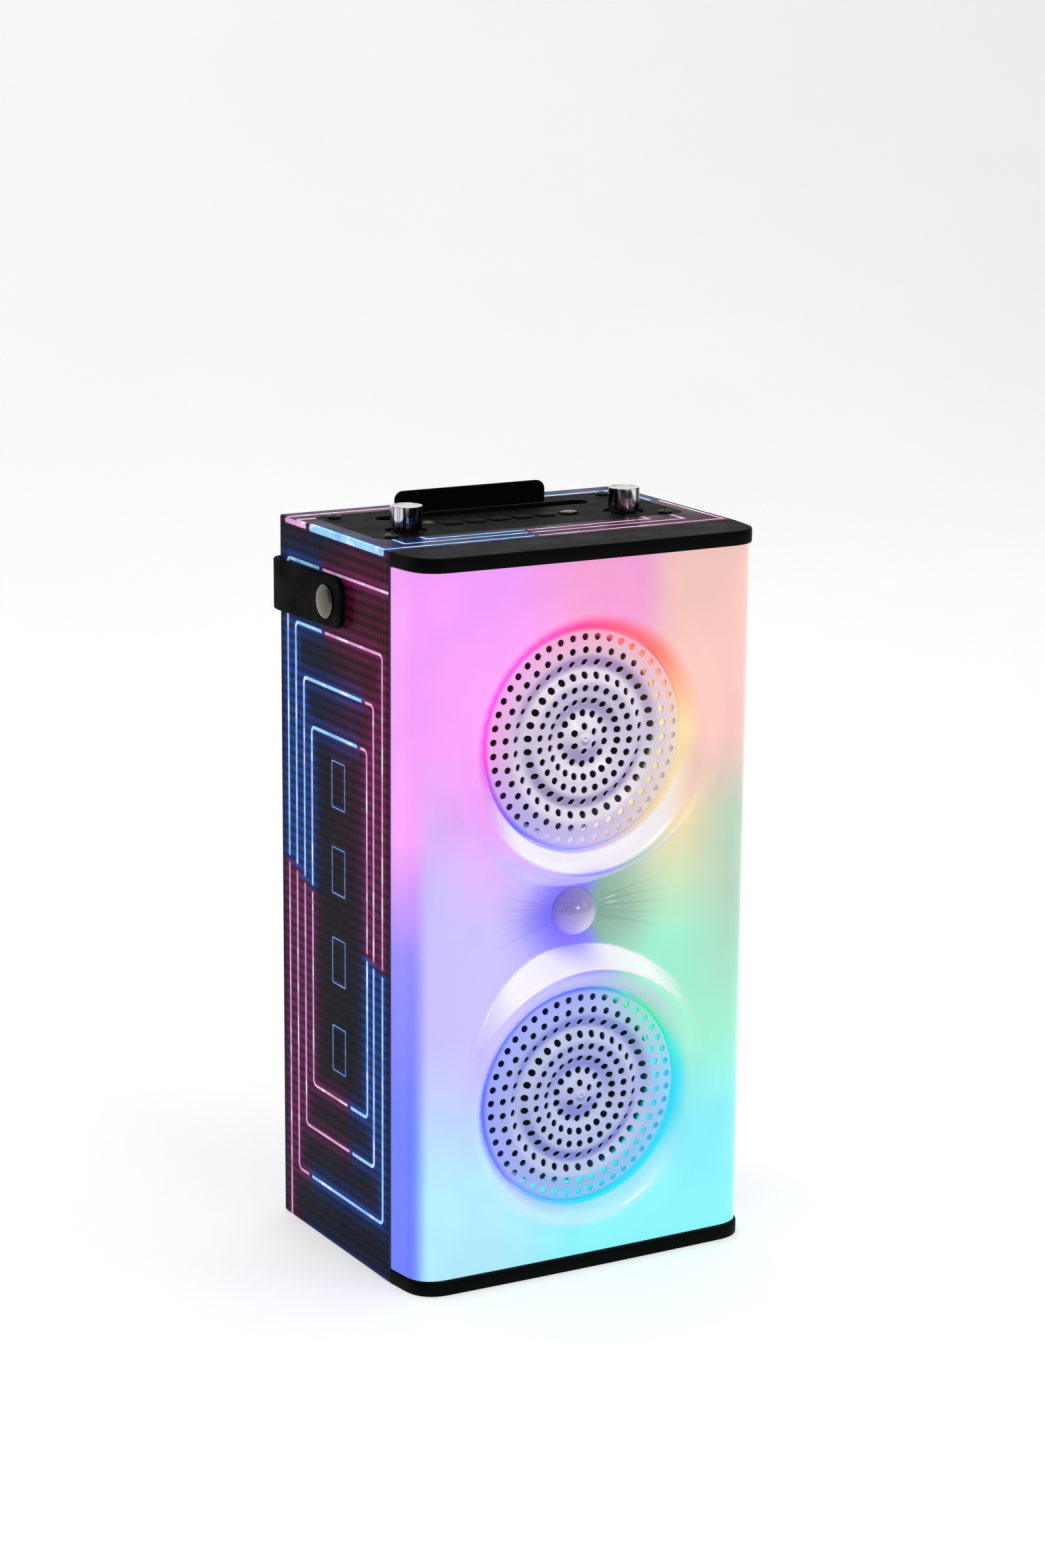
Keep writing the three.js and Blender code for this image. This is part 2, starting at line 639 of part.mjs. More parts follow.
// ---- strap handle --------------------------------------------------------------------------------
// Plan of the strap: along both sides, round the back edges, and bowed out behind the back board.
function strapPlan() {
  const inner = WIDTH / 2 + STRAP_STANDOFF;
  const outer = inner + STRAP_THICKNESS;
  const bow = STRAP_BOW - STRAP_THICKNESS;
  const turnX = WIDTH / 2 - 9;
  const turnY = DEPTH + 4;
  const shape = new THREE.Shape();
  shape.moveTo(-outer, STRAP_END_Y);
  shape.lineTo(-outer, STRAP_BEND_Y);
  shape.bezierCurveTo(-outer, turnY, -outer + 3.5, turnY + 2.6, -turnX + 1, turnY + 4.6);
  shape.bezierCurveTo(-turnX + 34, STRAP_BOW - 1, -28, STRAP_BOW, 0, STRAP_BOW);
  shape.bezierCurveTo(28, STRAP_BOW, turnX - 34, STRAP_BOW - 1, turnX - 1, turnY + 4.6);
  shape.bezierCurveTo(outer - 3.5, turnY + 2.6, outer, turnY, outer, STRAP_BEND_Y);
  shape.lineTo(outer, STRAP_END_Y);
  shape.lineTo(inner, STRAP_END_Y);
  shape.lineTo(inner, STRAP_BEND_Y);
  shape.bezierCurveTo(inner, turnY - 2, inner - 2, turnY, turnX - 1, turnY + 1.6);
  shape.bezierCurveTo(turnX - 34, bow - 1, 28, bow, 0, bow);
  shape.bezierCurveTo(-28, bow, -turnX + 34, bow - 1, -turnX + 1, turnY + 1.6);
  shape.bezierCurveTo(-inner + 2, turnY, -inner, turnY - 2, -inner, STRAP_BEND_Y);
  shape.lineTo(-inner, STRAP_END_Y);
  return shape;
}

function strap() {
  const z = [STRAP_Z - STRAP_WIDTH / 2, STRAP_Z + STRAP_WIDTH / 2];
  let band = slab(strapPlan(), z, 8);
  // side view of the strap, with rounded free ends, cut through the whole width
  const profile = roundedRect([STRAP_END_Y, 2 * STRAP_BOW], z, STRAP_END_CORNER);
  const options = { depth: WIDTH + 40, bevelEnabled: false, curveSegments: 6 };
  const envelope = new THREE.ExtrudeGeometry(profile, options);
  envelope.rotateX(Math.PI / 2).rotateZ(Math.PI / 2);
  band = band.intersect(solid(envelope.translate(-WIDTH / 2 - 20, 0, 0)));
  return band.subtract(across(RIVET_HOLE_RADIUS + 0.2, [-WIDTH, WIDTH], RIVET_Y, STRAP_Z));
}

function strapRivet(side) {
  const face = WIDTH / 2 + STRAP_STANDOFF + STRAP_THICKNESS + 0.2;
  const profile = [
    [0, WIDTH / 2 - BOARD - 1.5],
    [2.5, WIDTH / 2 - BOARD - 1.5],
    [2.5, face],
    [RIVET_RADIUS, face],
    [RIVET_RADIUS, face + 0.5],
    [RIVET_RADIUS - 1.6, face + 1.5],
    [RIVET_RADIUS - 4.6, face + RIVET_HEAD - 0.25],
    [0, face + RIVET_HEAD],
  ];
  const points = profile.map(([radius, x]) => new THREE.Vector2(radius, side * x));
  const lathe = new THREE.LatheGeometry(points, 24).rotateZ(-Math.PI / 2);
  return solid(lathe.translate(0, RIVET_Y, STRAP_Z));
}

function washer(side, radius, x) {
  const ends = [side * x[0], side * x[1]].sort((p, q) => p - q);
  const ring = across(radius, ends, RIVET_Y, STRAP_Z);
  return ring.subtract(across(RIVET_HOLE_RADIUS, [ends[0] - 1, ends[1] + 1], RIVET_Y, STRAP_Z));
}

add('handle_strap', strap(), STRAP_LEATHER);
[['left', -1], ['right', 1]].forEach(([name, side]) => {
  add(`strap_rivet_${name}`, strapRivet(side), SATIN_METAL);
  add(`strap_spacer_${name}`, washer(side, 6, [WIDTH / 2 + 0.2, WIDTH / 2 + STRAP_STANDOFF - 0.2]), STEEL);
  const nutX = [WIDTH / 2 - BOARD - 1.3, WIDTH / 2 - BOARD - 0.3];
  add(`rivet_washer_${name}`, washer(side, 5.5, nutX), STEEL);
});

export default root;
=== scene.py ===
import math

import bmesh
import bpy
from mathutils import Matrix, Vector
from mathutils.geometry import delaunay_2d_cdt


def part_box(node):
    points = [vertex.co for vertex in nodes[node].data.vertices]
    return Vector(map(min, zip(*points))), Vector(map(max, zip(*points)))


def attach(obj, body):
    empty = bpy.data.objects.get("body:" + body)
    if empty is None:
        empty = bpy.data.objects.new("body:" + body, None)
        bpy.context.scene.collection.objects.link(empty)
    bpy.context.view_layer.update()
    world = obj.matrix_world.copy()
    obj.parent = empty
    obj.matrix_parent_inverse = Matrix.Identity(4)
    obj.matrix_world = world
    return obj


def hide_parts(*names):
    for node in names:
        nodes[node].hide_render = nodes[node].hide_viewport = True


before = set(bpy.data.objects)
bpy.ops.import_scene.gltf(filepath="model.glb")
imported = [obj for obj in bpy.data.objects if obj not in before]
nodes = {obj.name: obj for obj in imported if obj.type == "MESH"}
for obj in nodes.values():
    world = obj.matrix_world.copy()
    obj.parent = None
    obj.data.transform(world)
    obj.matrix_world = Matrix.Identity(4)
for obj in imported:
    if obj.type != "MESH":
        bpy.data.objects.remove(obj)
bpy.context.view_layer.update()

# ---- sizes, in millimetres; x = 0 is the middle and y = 0 is the front edge of the cabinet's boards ----
MM = 0.001
EDGE_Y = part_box("side_board_left")[0].y
WIDTH = 195.0
DEPTH = 116.8
HEIGHT = 368.5
BOARD = 6.0
COVER_Z = {"upper": 270.9, "lower": 88.3}
COVER_RADIUS = 55.3
COVER_Y = -18.4
DOME_Z = 181.7
DOME_RADIUS = 12.3
PANEL_TOP = HEIGHT - 0.3
PANEL_UNDERSIDE = PANEL_TOP - 3.0
PANEL_MIDDLE = (0.0, 65.0)
PANEL_HALF = (86.9, 36.5)
KNOB_X = 62.0
KNOB_Y = 48.6
BUTTON_Y = 54.7
BUTTON_PITCH = 13.35
SOCKET = (-42.0, 63.5)
SCREWS = [(-77.7, 34.2), (77.7, 34.2), (-77.7, 95.8), (77.7, 95.8)]
STRAP_Z = 334.6
STRAP_END_Y = 41.5
STRAP_STANDOFF = 1.1
STRAP_THICKNESS = 3
STRAP_HALF_WIDTH = 13
STRAP_END_CORNER = 9
RIVET_Y = DEPTH / 2


def place(x, y, z):
    return Vector((x * MM, y * MM + EDGE_Y, z * MM))


def smooth(t):
    t = min(max(t, 0.0), 1.0)
    return t * t * (3 - 2 * t)


# ---- camera ----
def make_camera():
    yaw, pitch, roll = 0.520759, 0.244406, 0.0087133
    forward = Vector((math.sin(yaw) * math.cos(pitch), math.cos(yaw) * math.cos(pitch), -math.sin(pitch)))
    right = Vector((math.cos(yaw), -math.sin(yaw), 0))
    up = right.cross(forward)
    right, up = right * math.cos(roll) + up * math.sin(roll), up * math.cos(roll) - right * math.sin(roll)
    data = bpy.data.cameras.new("camera")
    data.lens = 82.84
    data.sensor_width = 36
    camera = bpy.data.objects.new("camera", data)
    bpy.context.scene.collection.objects.link(camera)
    camera.rotation_mode = "QUATERNION"
    turn = bpy.context.scene.cursor.matrix.to_3x3()
    for row in range(3):
        turn[row] = (right[row], up[row], -forward[row])
    camera.rotation_quaternion = turn.to_quaternion()
    camera.location = (-0.87677, -1.54383, 0.67452)
    bpy.context.scene.camera = camera


make_camera()
bpy.context.scene.view_settings.view_transform = "Standard"


# ---- materials: a small helper that adds nodes and returns their outputs ----
def srgb(red, green, blue):
    def linear(v):
        v /= 255
        return v / 12.92 if v <= 0.04045 else ((v + 0.055) / 1.055) ** 2.4

    return (linear(red), linear(green), linear(blue), 1.0)


class Shade:
    def __init__(self, name, **fixed):
        self.material = bpy.data.materials.new(name)
        self.material.use_nodes = True
        self.tree = self.material.node_tree
        self.surface = self.tree.nodes["Principled BSDF"]
        place_of = self.tree.nodes.new("ShaderNodeTexCoord").outputs["Object"]
        # millimetres, with y counted from the cabinet's front edge
        shifted = self.vector("SUBTRACT", place_of, (0, EDGE_Y, 0))
        self.point = self.vector("SCALE", shifted, scale=1000.0)
        split = self.tree.nodes.new("ShaderNodeSeparateXYZ")
        self.tree.links.new(self.point, split.inputs[0])
        self.x, self.y, self.z = split.outputs
        for socket, value in fixed.items():
            self.surface.inputs[socket.replace("_", " ")].default_value = value

    def feed(self, socket, value):
        if isinstance(value, bpy.types.NodeSocket):
            self.tree.links.new(value, socket)
        else:
            socket.default_value = value

    def drive(self, socket, value):
        self.feed(self.surface.inputs[socket], value)

    def math(self, operation, *values):
        node = self.tree.nodes.new("ShaderNodeMath")
        node.operation = operation
        for socket, value in zip(node.inputs, values):
            self.feed(socket, value)
        return node.outputs[0]

    def times(self, first, second):
        return self.math("MULTIPLY", first, second)

    def minus(self, first, second):
        return self.math("SUBTRACT", first, second)

    def vector(self, operation, *values, scale=None):
        node = self.tree.nodes.new("ShaderNodeVectorMath")
        node.operation = operation
        for socket, value in zip(node.inputs, values):
            self.feed(socket, value)
        if scale is not None:
            self.feed(node.inputs["Scale"], scale)
        return node.outputs["Value" if operation == "LENGTH" else "Vector"]

    def step(self, value, low, high, start=0.0, end=1.0):
        node = self.tree.nodes.new("ShaderNodeMapRange")
        node.interpolation_type = "SMOOTHSTEP"
        for socket, given in zip(node.inputs, (value, low, high, start, end)):
            self.feed(socket, given)
        return node.outputs[0]

    def mix(self, factor, first, second, blend="MIX"):
        node = self.tree.nodes.new("ShaderNodeMix")
        node.data_type = "RGBA"
        node.blend_type = blend
        self.feed(node.inputs["Factor"], factor)
        self.feed(node.inputs[6], first)
        self.feed(node.inputs[7], second)
        return node.outputs[2]

    def ramp(self, value, stops):
        node = self.tree.nodes.new("ShaderNodeValToRGB")
        self.feed(node.inputs[0], value)
        elements = node.color_ramp.elements
        while len(elements) < len(stops):
            elements.new(0.5)
        for element, (position, colour) in zip(elements, stops):
            element.position = position
            element.color = colour
        return node.outputs[0]

    def noise(self, scale, detail=3.0, roughness=0.5, stretch=None):
        node = self.tree.nodes.new("ShaderNodeTexNoise")
        where = self.point if stretch is None else self.vector("MULTIPLY", self.point, stretch)
        self.feed(node.inputs["Vector"], where)
        node.inputs["Scale"].default_value = scale
        node.inputs["Detail"].default_value = detail
        node.inputs["Roughness"].default_value = roughness
        return node.outputs[0]

    def cells(self, scale):
        node = self.tree.nodes.new("ShaderNodeTexVoronoi")
        self.feed(node.inputs["Vector"], self.point)
        node.inputs["Scale"].default_value = scale
        return node.outputs["Distance"]

    def bump(self, height, strength, depth):
        """Bump of depth millimetres where height goes from 0 to 1."""
        node = self.tree.nodes.new("ShaderNodeBump")
        node.inputs["Strength"].default_value = strength
        node.inputs["Distance"].default_value = depth * MM
        self.feed(node.inputs["Height"], height)
        self.drive("Normal", node.outputs[0])

    def upward(self):
        """The upward part of the surface's normal."""
        split = self.tree.nodes.new("ShaderNodeSeparateXYZ")
        self.tree.links.new(self.tree.nodes.new("ShaderNodeTexCoord").outputs["Normal"], split.inputs[0])
        return split.outputs[2]

    def sum(self, *values):
        total = values[0]
        for value in values[1:]:
            total = self.math("ADD", total, value)
        return total


# ---- neon print on the cabinet's film ----
CORE_BLUE, GLOW_BLUE = srgb(150, 206, 240), srgb(28, 68, 165)
CORE_PINK, GLOW_PINK = srgb(222, 166, 212), srgb(112, 26, 88)
RING_CORNER = 3.0
DOT_PITCH = 2.7


class Print:
    """Neon lines drawn on one face, whose own axes are the outputs u and v, in millimetres."""

    def __init__(self, name, u, v):
        self.shade = Shade(name, Specular_IOR_Level=0.02)
        self.u = getattr(self.shade, u)
        self.v = getattr(self.shade, v)
        self.cores = {"blue": [], "pink": []}
        self.glows = {"blue": [], "pink": []}

    def ring_distance(self, low, high, radius):
        s = self.shade
        over = []
        for value, a, b in ((self.u, low[0], high[0]), (self.v, low[1], high[1])):
            away = s.math("ABSOLUTE", s.minus(value, (a + b) / 2))
            over.append(s.minus(away, (b - a) / 2 - radius))
        outside = [s.math("MAXIMUM", value, 0.0) for value in over]
        squares = [s.math("POWER", value, 2.0) for value in outside]
        far = s.math("SQRT", s.sum(*squares))
        near = s.math("MINIMUM", s.math("MAXIMUM", *over), 0.0)
        return s.math("ABSOLUTE", s.minus(s.sum(far, near), radius))

    def light(self, colour, distance, core_mask, glow_mask, width, reach):
        s = self.shade
        core = s.step(distance, width * 0.5 - 0.22, width * 0.5 + 0.3, 1.0, 0.0)
        glow = s.math("EXPONENT", s.times(distance, -1.0 / reach))
        self.cores[colour].append(s.times(core, core_mask))
        self.glows[colour].append(s.times(glow, glow_mask))

    def line(self, colour, start, end, width=1.5, reach=3.2):
        """A straight line along u or v with round ends."""
        s = self.shade
        away = []
        for value, a, b in ((self.u, start[0], end[0]), (self.v, start[1], end[1])):
            off = s.math("ABSOLUTE", s.minus(value, (a + b) / 2))
            off = s.math("MAXIMUM", s.minus(off, abs(b - a) / 2), 0.0)
            away.append(s.math("POWER", off, 2.0))
        self.light(colour, s.math("SQRT", s.sum(*away)), 1.0, 1.0, width, reach)

    def ring(self, low, high, top_split, base_split, back_split, front_split):
        """A rounded rectangle, blue at the top towards +u and the bottom towards -u, and pink elsewhere."""
        s = self.shade
        distance = self.ring_distance(low, high, RING_CORNER)
        middle = (low[0] + high[0]) / 2
        behind = s.math("GREATER_THAN", self.u, middle)
        turn = s.math("MULTIPLY_ADD", behind, back_split - front_split, front_split)
        height = s.minus(self.v, turn)
        upper = s.math("GREATER_THAN", height, 0.0)
        from_top = s.minus(self.u, top_split)
        from_base = s.minus(base_split, self.u)
        difference = s.minus(from_top, from_base)
        along = s.math("MULTIPLY_ADD", upper, difference, from_base)
        gap = s.math("MINIMUM", s.math("ABSOLUTE", along), s.math("ABSOLUTE", height))
        lit = s.step(gap, 1.2, 2.6)
        blue = s.math("GREATER_THAN", along, 0.0)
        pink = s.minus(1.0, blue)
        soft = s.step(along, -6, 6)
        self.light("blue", distance, s.times(blue, lit), soft, 1.6, 3.6)
        self.light("pink", distance, s.times(pink, lit), s.minus(1.0, soft), 1.3, 3.6)

    def outline(self, low, high):
        """A thin pale rectangle."""
        distance = self.ring_distance(low, high, 0.6)
        self.light("blue", distance, 0.62, 0.6, 0.4, 0.8)

    def finish(self, base, rows=5.0, light=0.5):
        """Puts the lines on a dark ground with rows of fine dots, and makes the whole print glow with painted
        light.
        """
        s = self.shade
        across = s.math("SINE", s.times(self.u, 2 * math.pi / DOT_PITCH))
        along = s.math("SINE", s.times(self.v, 2 * math.pi / rows))
        across = s.math("MULTIPLY_ADD", across, 0.22, 0.8)
        along = s.math("MULTIPLY_ADD", along, 0.36, 0.7)
        grain = s.noise(0.35, 2.0)
        grid = s.times(across, along)
        grid = s.times(grid, s.math("MULTIPLY_ADD", grain, 0.5, 0.75))
        colour = s.mix(1.0, base, self.grey(grid), "MULTIPLY")
        cores = []
        for name, glow, core in (("blue", GLOW_BLUE, CORE_BLUE), ("pink", GLOW_PINK, CORE_PINK)):
            halo = s.times(s.sum(*self.glows[name]), grid)
            colour = s.mix(1.0, colour, self.tint(halo, glow), "ADD")
            cores.append((s.math("MINIMUM", s.sum(*self.cores[name]), 1.0), core))
        streaks = s.step(s.noise(0.06, 2.0), 0.35, 0.62, 0.72, 1.0)
        sparks = s.step(s.noise(0.09, 1.0), 0.56, 0.6, 0.0, 0.7)
        for amount, core in cores:
            core = s.mix(sparks, core, srgb(228, 240, 248))
            colour = s.mix(s.times(amount, streaks), colour, core)
        s.drive("Base Color", colour)
        # painted light: the print glows by its own emission, of strength light
        s.drive("Emission Color", colour)
        s.drive("Emission Strength", light)
        smears = s.noise(0.03, 4.0)
        s.drive("Roughness", s.step(smears, 0.3, 0.7, 0.2, 0.38))
        s.bump(s.noise(0.7, 3.0), 0.1, 0.03)
        return s.material

    def grey(self, value):
        node = self.shade.tree.nodes.new("ShaderNodeCombineColor")
        for socket in node.inputs:
            self.shade.feed(socket, value)
        return node.outputs[0]

    def tint(self, amount, colour):
        return self.shade.mix(1.0, self.grey(amount), colour, "MULTIPLY")


def side_print():
    page = Print("print_side", "y", "z")
    page.ring((-8, -3.5), (108, 348.25), 71, 93.5, 192.5, 159.2)
    page.ring((6.25, 28.75), (99.25, 317), 68.7, 86.2, 190, 158.5)
    page.ring((15.5, 55.5), (90.5, 290.5), 26, 40.6, 185.6, 160.4)
    page.ring((22.5, 79.25), (82, 266.75), 31, 42.5, 183, 162.5)
    for z in (242.5, 198.5, 151.75, 105.75):
        page.outline((46.25, z - 11.75), (60, z + 11.75))
    page.line("blue", (6, 366.8), (82, 366.8), 3.2, 1.6)
    page.line("pink", (88.5, 366.8), (97.8, 366.8), 2.6, 1.6)
    page.line("pink", (100, 366.8), (109, 366.8), 2.6, 1.6)
    s = page.shade
    front = s.step(s.y, 75, 25)
    high = s.step(s.z, 120, 330)
    base = s.mix(s.times(front, high), srgb(14, 15, 28), srgb(72, 16, 38))
    return page.finish(base)


def top_print():
    page = Print("print_top", "x", "y")
    front_lines = ((5.25, -98, -13.7, 93.75), (14, -81, -12.4, 76.25), (20.9, -65.6, -10.6, 60))
    for y, low, middle, high in front_lines:
        page.line("blue", (low, y), (middle - 1.6, y), 1.3, 1.5)
        page.line("pink", (middle + 1.8, y), (high, y), 1.3, 1.5)
    page.line("blue", (-81, 14), (-81, 26), 1.3, 1.5)
    page.line("pink", (76.25, 14), (76.25, 26), 1.3, 1.5)
    page.line("blue", (-65.6, 20.9), (-65.6, 27), 1.3, 1.5)
    page.line("pink", (60, 20.9), (60, 27), 1.3, 1.5)
    page.line("pink", (93.75, 5.25), (93.75, 65), 1.3, 1.6)
    page.line("blue", (90, 69), (90, 90), 1.8, 3)
    page.line("blue", (-97.5, 6), (-97.5, 82), 3.2, 3.5)
    page.line("pink", (-98, 88.5), (-98, 97.5), 2.6, 2)
    page.line("pink", (-98, 97.5), (-86, 97.5), 2, 2)
    page.line("pink", (-98, 107.5), (35, 107.5), 2.2, 3.2)
    page.line("blue", (44, 104), (86, 104), 2.4, 3.6)
    s = page.shade
    base = s.mix(s.step(s.x, -40, 40), srgb(26, 28, 48), srgb(46, 20, 34))
    return page.finish(base, 3.6, 0.8)


def back_print():
    page = Print("print_back", "x", "z")
    page.ring((-88, 12), (88, 356), 10, -10, 190, 165)
    page.ring((-74, 34), (74, 334), -12, 12, 186, 168)
    page.ring((-60, 56), (60, 312), 8, -8, 182, 170)
    for z in (250, 206, 162, 118):
        page.outline((-13, z - 12), (13, z + 12))
    s = page.shade
    base = s.mix(s.step(s.x, -60, 60), srgb(30, 31, 46), srgb(60, 26, 48))
    return page.finish(base)


def base_film():
    s = Shade("print_base", IOR=1.5)
    s.drive("Base Color", s.mix(s.noise(0.2, 4.0), srgb(24, 24, 34), srgb(34, 32, 44)))
    s.drive("Roughness", s.step(s.noise(0.05, 4.0), 0.3, 0.7, 0.3, 0.55))
    s.bump(s.noise(0.6, 3.0), 0.15, 0.05)
    return s.material


# ---- plain materials ----
def speckled(name, dark, light, low, high, grain, depth, **fixed):
    """A moulded, coated or cast surface: fine grain, blotches of gloss and a little wear of the colour."""
    s = Shade(name, **fixed)
    blotch = s.noise(0.06, 4.0, 0.6)
    fine = s.noise(grain, 4.0, 0.6)
    worn = s.math("MULTIPLY_ADD", fine, 0.6, s.times(blotch, 0.4))
    s.drive("Base Color", s.mix(worn, dark, light))
    s.drive("Roughness", s.step(s.sum(blotch, s.times(fine, 0.5)), 0.4, 1.1, low, high))
    s.bump(fine, 0.5, depth)
    return s.material


def turned_metal(name, dark, light, low, high, stretch, depth, **fixed):
    """Bright metal with fine tool lines along the way that stretch makes long."""
    s = Shade(name, Metallic=1.0, **fixed)
    lines = s.noise(1.0, 4.0, 0.65, stretch=stretch)
    smudge = s.noise(0.15, 3.0)
    s.drive("Base Color", s.mix(smudge, dark, light))
    worn = s.math("MULTIPLY_ADD", lines, 0.6, s.times(smudge, 0.4))
    s.drive("Roughness", s.step(worn, 0.3, 0.7, low, high))
    s.bump(lines, 0.3, depth)
    return s.material


M = {}
M["black"] = speckled("black_plastic", srgb(1, 1, 1), srgb(5, 6, 5), 0.46, 0.62, 2.2, 0.04,
                      Specular_IOR_Level=0.05)
M["panel"] = speckled("panel_plastic", srgb(2, 3, 2), srgb(7, 9, 8), 0.5, 0.66, 3.0, 0.06,
                      Specular_IOR_Level=0.04)
M["black_steel"] = speckled("black_oxide", srgb(12, 12, 13), srgb(26, 26, 27), 0.28, 0.45, 2.5, 0.03,
                            Metallic=0.4)
M["paper"] = speckled("cone_paper", srgb(6, 6, 8), srgb(16, 16, 18), 0.75, 0.95, 1.3, 0.2)
M["board"] = speckled("bare_board", srgb(112, 88, 60), srgb(156, 128, 92), 0.75, 0.95, 1.6, 0.15)
M["magnet"] = speckled("ferrite", srgb(38, 38, 42), srgb(62, 62, 66), 0.5, 0.75, 1.2, 0.08)
M["circuit"] = speckled("solder_mask", srgb(10, 62, 30), srgb(24, 92, 48), 0.3, 0.5, 0.9, 0.04)
M["cells"] = speckled("shrink_film", srgb(20, 62, 140), srgb(38, 90, 178), 0.25, 0.4, 0.5, 0.05)
M["steel"] = turned_metal("zinc_steel", srgb(140, 142, 146), srgb(176, 178, 182), 0.3, 0.5,
                          (0.2, 0.2, 2.0), 0.02)
M["satin"] = turned_metal("satin_nickel", srgb(84, 79, 71), srgb(120, 115, 105), 0.2, 0.34,
                          (0.3, 1.2, 1.2), 0.02)


def chrome_material():
    """Polished metal with a painted reflection of upright light and dark stripes round its side and a painted
    highlight that makes its end face pale.
    """
    s = Shade("chrome", Metallic=1.0)
    # painted reflection: upright light and dark stripes round the side
    painted_reflection_bands = s.step(s.noise(0.5, 2.0, 0.5, stretch=(1.0, 1.0, 0.02)), 0.44, 0.6)
    side = s.mix(painted_reflection_bands, srgb(44, 44, 50), srgb(232, 232, 238))
    # painted highlight: the end face that looks up is pale
    s.drive("Base Color", s.mix(s.step(s.upward(), 0.3, 0.8), side, srgb(216, 212, 208)))
    s.drive("Roughness", s.step(s.noise(0.3, 3.0), 0.3, 0.7, 0.05, 0.14))
    s.bump(s.noise(1.2, 2.0), 0.1, 0.002)
    return s.material


M["chrome"] = chrome_material()


def strap_material():
    s = Shade("strap_leatherette", Specular_IOR_Level=0.02)
    pores = s.cells(0.9)
    folds = s.noise(0.8, 5.0, 0.65)
    worn = s.noise(0.07, 4.0)
    grain = s.math("MULTIPLY_ADD", folds, 0.5, s.times(pores, 0.5))
    s.drive("Base Color", s.mix(grain, srgb(1, 2, 1), srgb(8, 9, 8)))
    s.drive("Roughness", s.step(s.sum(worn, s.times(grain, 0.4)), 0.45, 0.95, 0.42, 0.66))
    s.bump(grain, 0.6, 0.18)
    return s.material


M["strap"] = strap_material()


def dome_material():
    s = Shade("dome_plastic", IOR=1.46, Coat_Weight=1.0, Coat_Roughness=0.04)
    frost = s.noise(0.9, 4.0)
    # partly the light show's blue on the left and partly painted light: the right side is paler
    side = s.step(s.x, -11, 9)
    # painted shade: the top of the dome is darkened
    high = s.step(s.z, DOME_Z - 11, DOME_Z + 10)
    tone = s.mix(side, srgb(136, 120, 222), srgb(206, 198, 214))
    tone = s.mix(s.times(high, 0.75), tone, srgb(108, 94, 166))
    tone = s.mix(s.times(frost, 0.25), tone, srgb(205, 200, 225))
    s.drive("Base Color", tone)
    s.drive("Emission Color", tone)
    s.drive("Emission Strength", 0.3)
    s.drive("Roughness", s.step(frost, 0.3, 0.7, 0.24, 0.36))
    s.bump(frost, 0.08, 0.01)
    return s.material


M["dome"] = dome_material()


# the hues of the light show, named and chosen
INDIGO, PERIWINKLE, VIOLET = (95, 115, 255), (150, 170, 255), (140, 130, 255)
LILAC, ORCHID, MAGENTA = (200, 190, 255), (250, 160, 255), (255, 55, 225)
ICE, AQUA, CYAN = (180, 240, 255), (135, 245, 255), (50, 230, 250)
MINT, GREEN, SAGE = (160, 245, 210), (85, 240, 160), (185, 215, 190)
CREAM, PEACH, CORAL = (250, 225, 170), (250, 200, 190), (255, 120, 100)
ROSE, HOT_PINK = (250, 160, 215), (255, 50, 150)

# glow hues round each cover, anticlockwise from +x as seen from the front, every 45 degrees
RIM_GLOW = {
    "upper": [CREAM, CORAL, HOT_PINK, MAGENTA, MAGENTA, VIOLET, LILAC, CREAM],
    "lower": [CYAN, GREEN, INDIGO, INDIGO, INDIGO, PERIWINKLE, CYAN, CYAN],
}


def rim_glow(s, place_name):
    """The glow's colour by direction round one cover, and the distance from its middle."""
    z = s.minus(s.z, COVER_Z[place_name])
    angle = s.math("ARCTAN2", z, s.x)
    turn = s.math("FRACT", s.math("MULTIPLY_ADD", angle, 0.5 / math.pi, 1.0))
    colours = RIM_GLOW[place_name]
    stops = [(k / 8, srgb(*colours[k % 8])) for k in range(9)]
    distance = s.math("SQRT", s.sum(s.math("POWER", s.x, 2.0), s.math("POWER", z, 2.0)))
    return s.ramp(turn, stops), distance


# backlight hues up the shell, from the bottom, in seven columns across it
COLUMNS = [
    (-95, [(90, INDIGO), (170, VIOLET), (230, ORCHID), (355, ORCHID)]),
    (-88, [(15, ICE), (50, ICE), (130, LILAC), (205, LILAC), (275, ORCHID)]),
    (-55, [(15, ICE), (55, ICE), (110, LILAC), (180, LILAC), (250, ORCHID)]),
    (0, [(40, AQUA), (90, PERIWINKLE), (150, LILAC), (182, VIOLET), (205, LILAC), (270, ROSE), (355, ROSE)]),
    (22, [(65, AQUA), (100, MINT), (150, MINT), (182, SAGE), (208, SAGE), (270, PEACH), (330, ROSE)]),
    (50, [(65, AQUA), (110, MINT), (165, MINT), (225, CREAM), (255, PEACH), (355, PEACH)]),
    (86, [(65, AQUA), (115, MINT), (190, SAGE), (225, SAGE), (265, PEACH), (355, PEACH)]),
]


def dome_glow(s, colour):
    """Blue on the left of the dome and grey-green on its right, fading outwards."""
    z = s.minus(s.z, DOME_Z)
    distance = s.math("SQRT", s.sum(s.math("POWER", s.x, 2.0), s.math("POWER", z, 2.0)))
    beside = s.minus(s.x, s.times(s.math("ABSOLUTE", z), 0.6))
    tone = s.mix(s.step(beside, -3, 10), srgb(112, 98, 255), srgb(118, 166, 144))
    reach = s.step(s.x, -20, 20, 38, 52)
    return s.mix(s.step(distance, 9, reach, 0.9, 0.0), colour, tone), distance


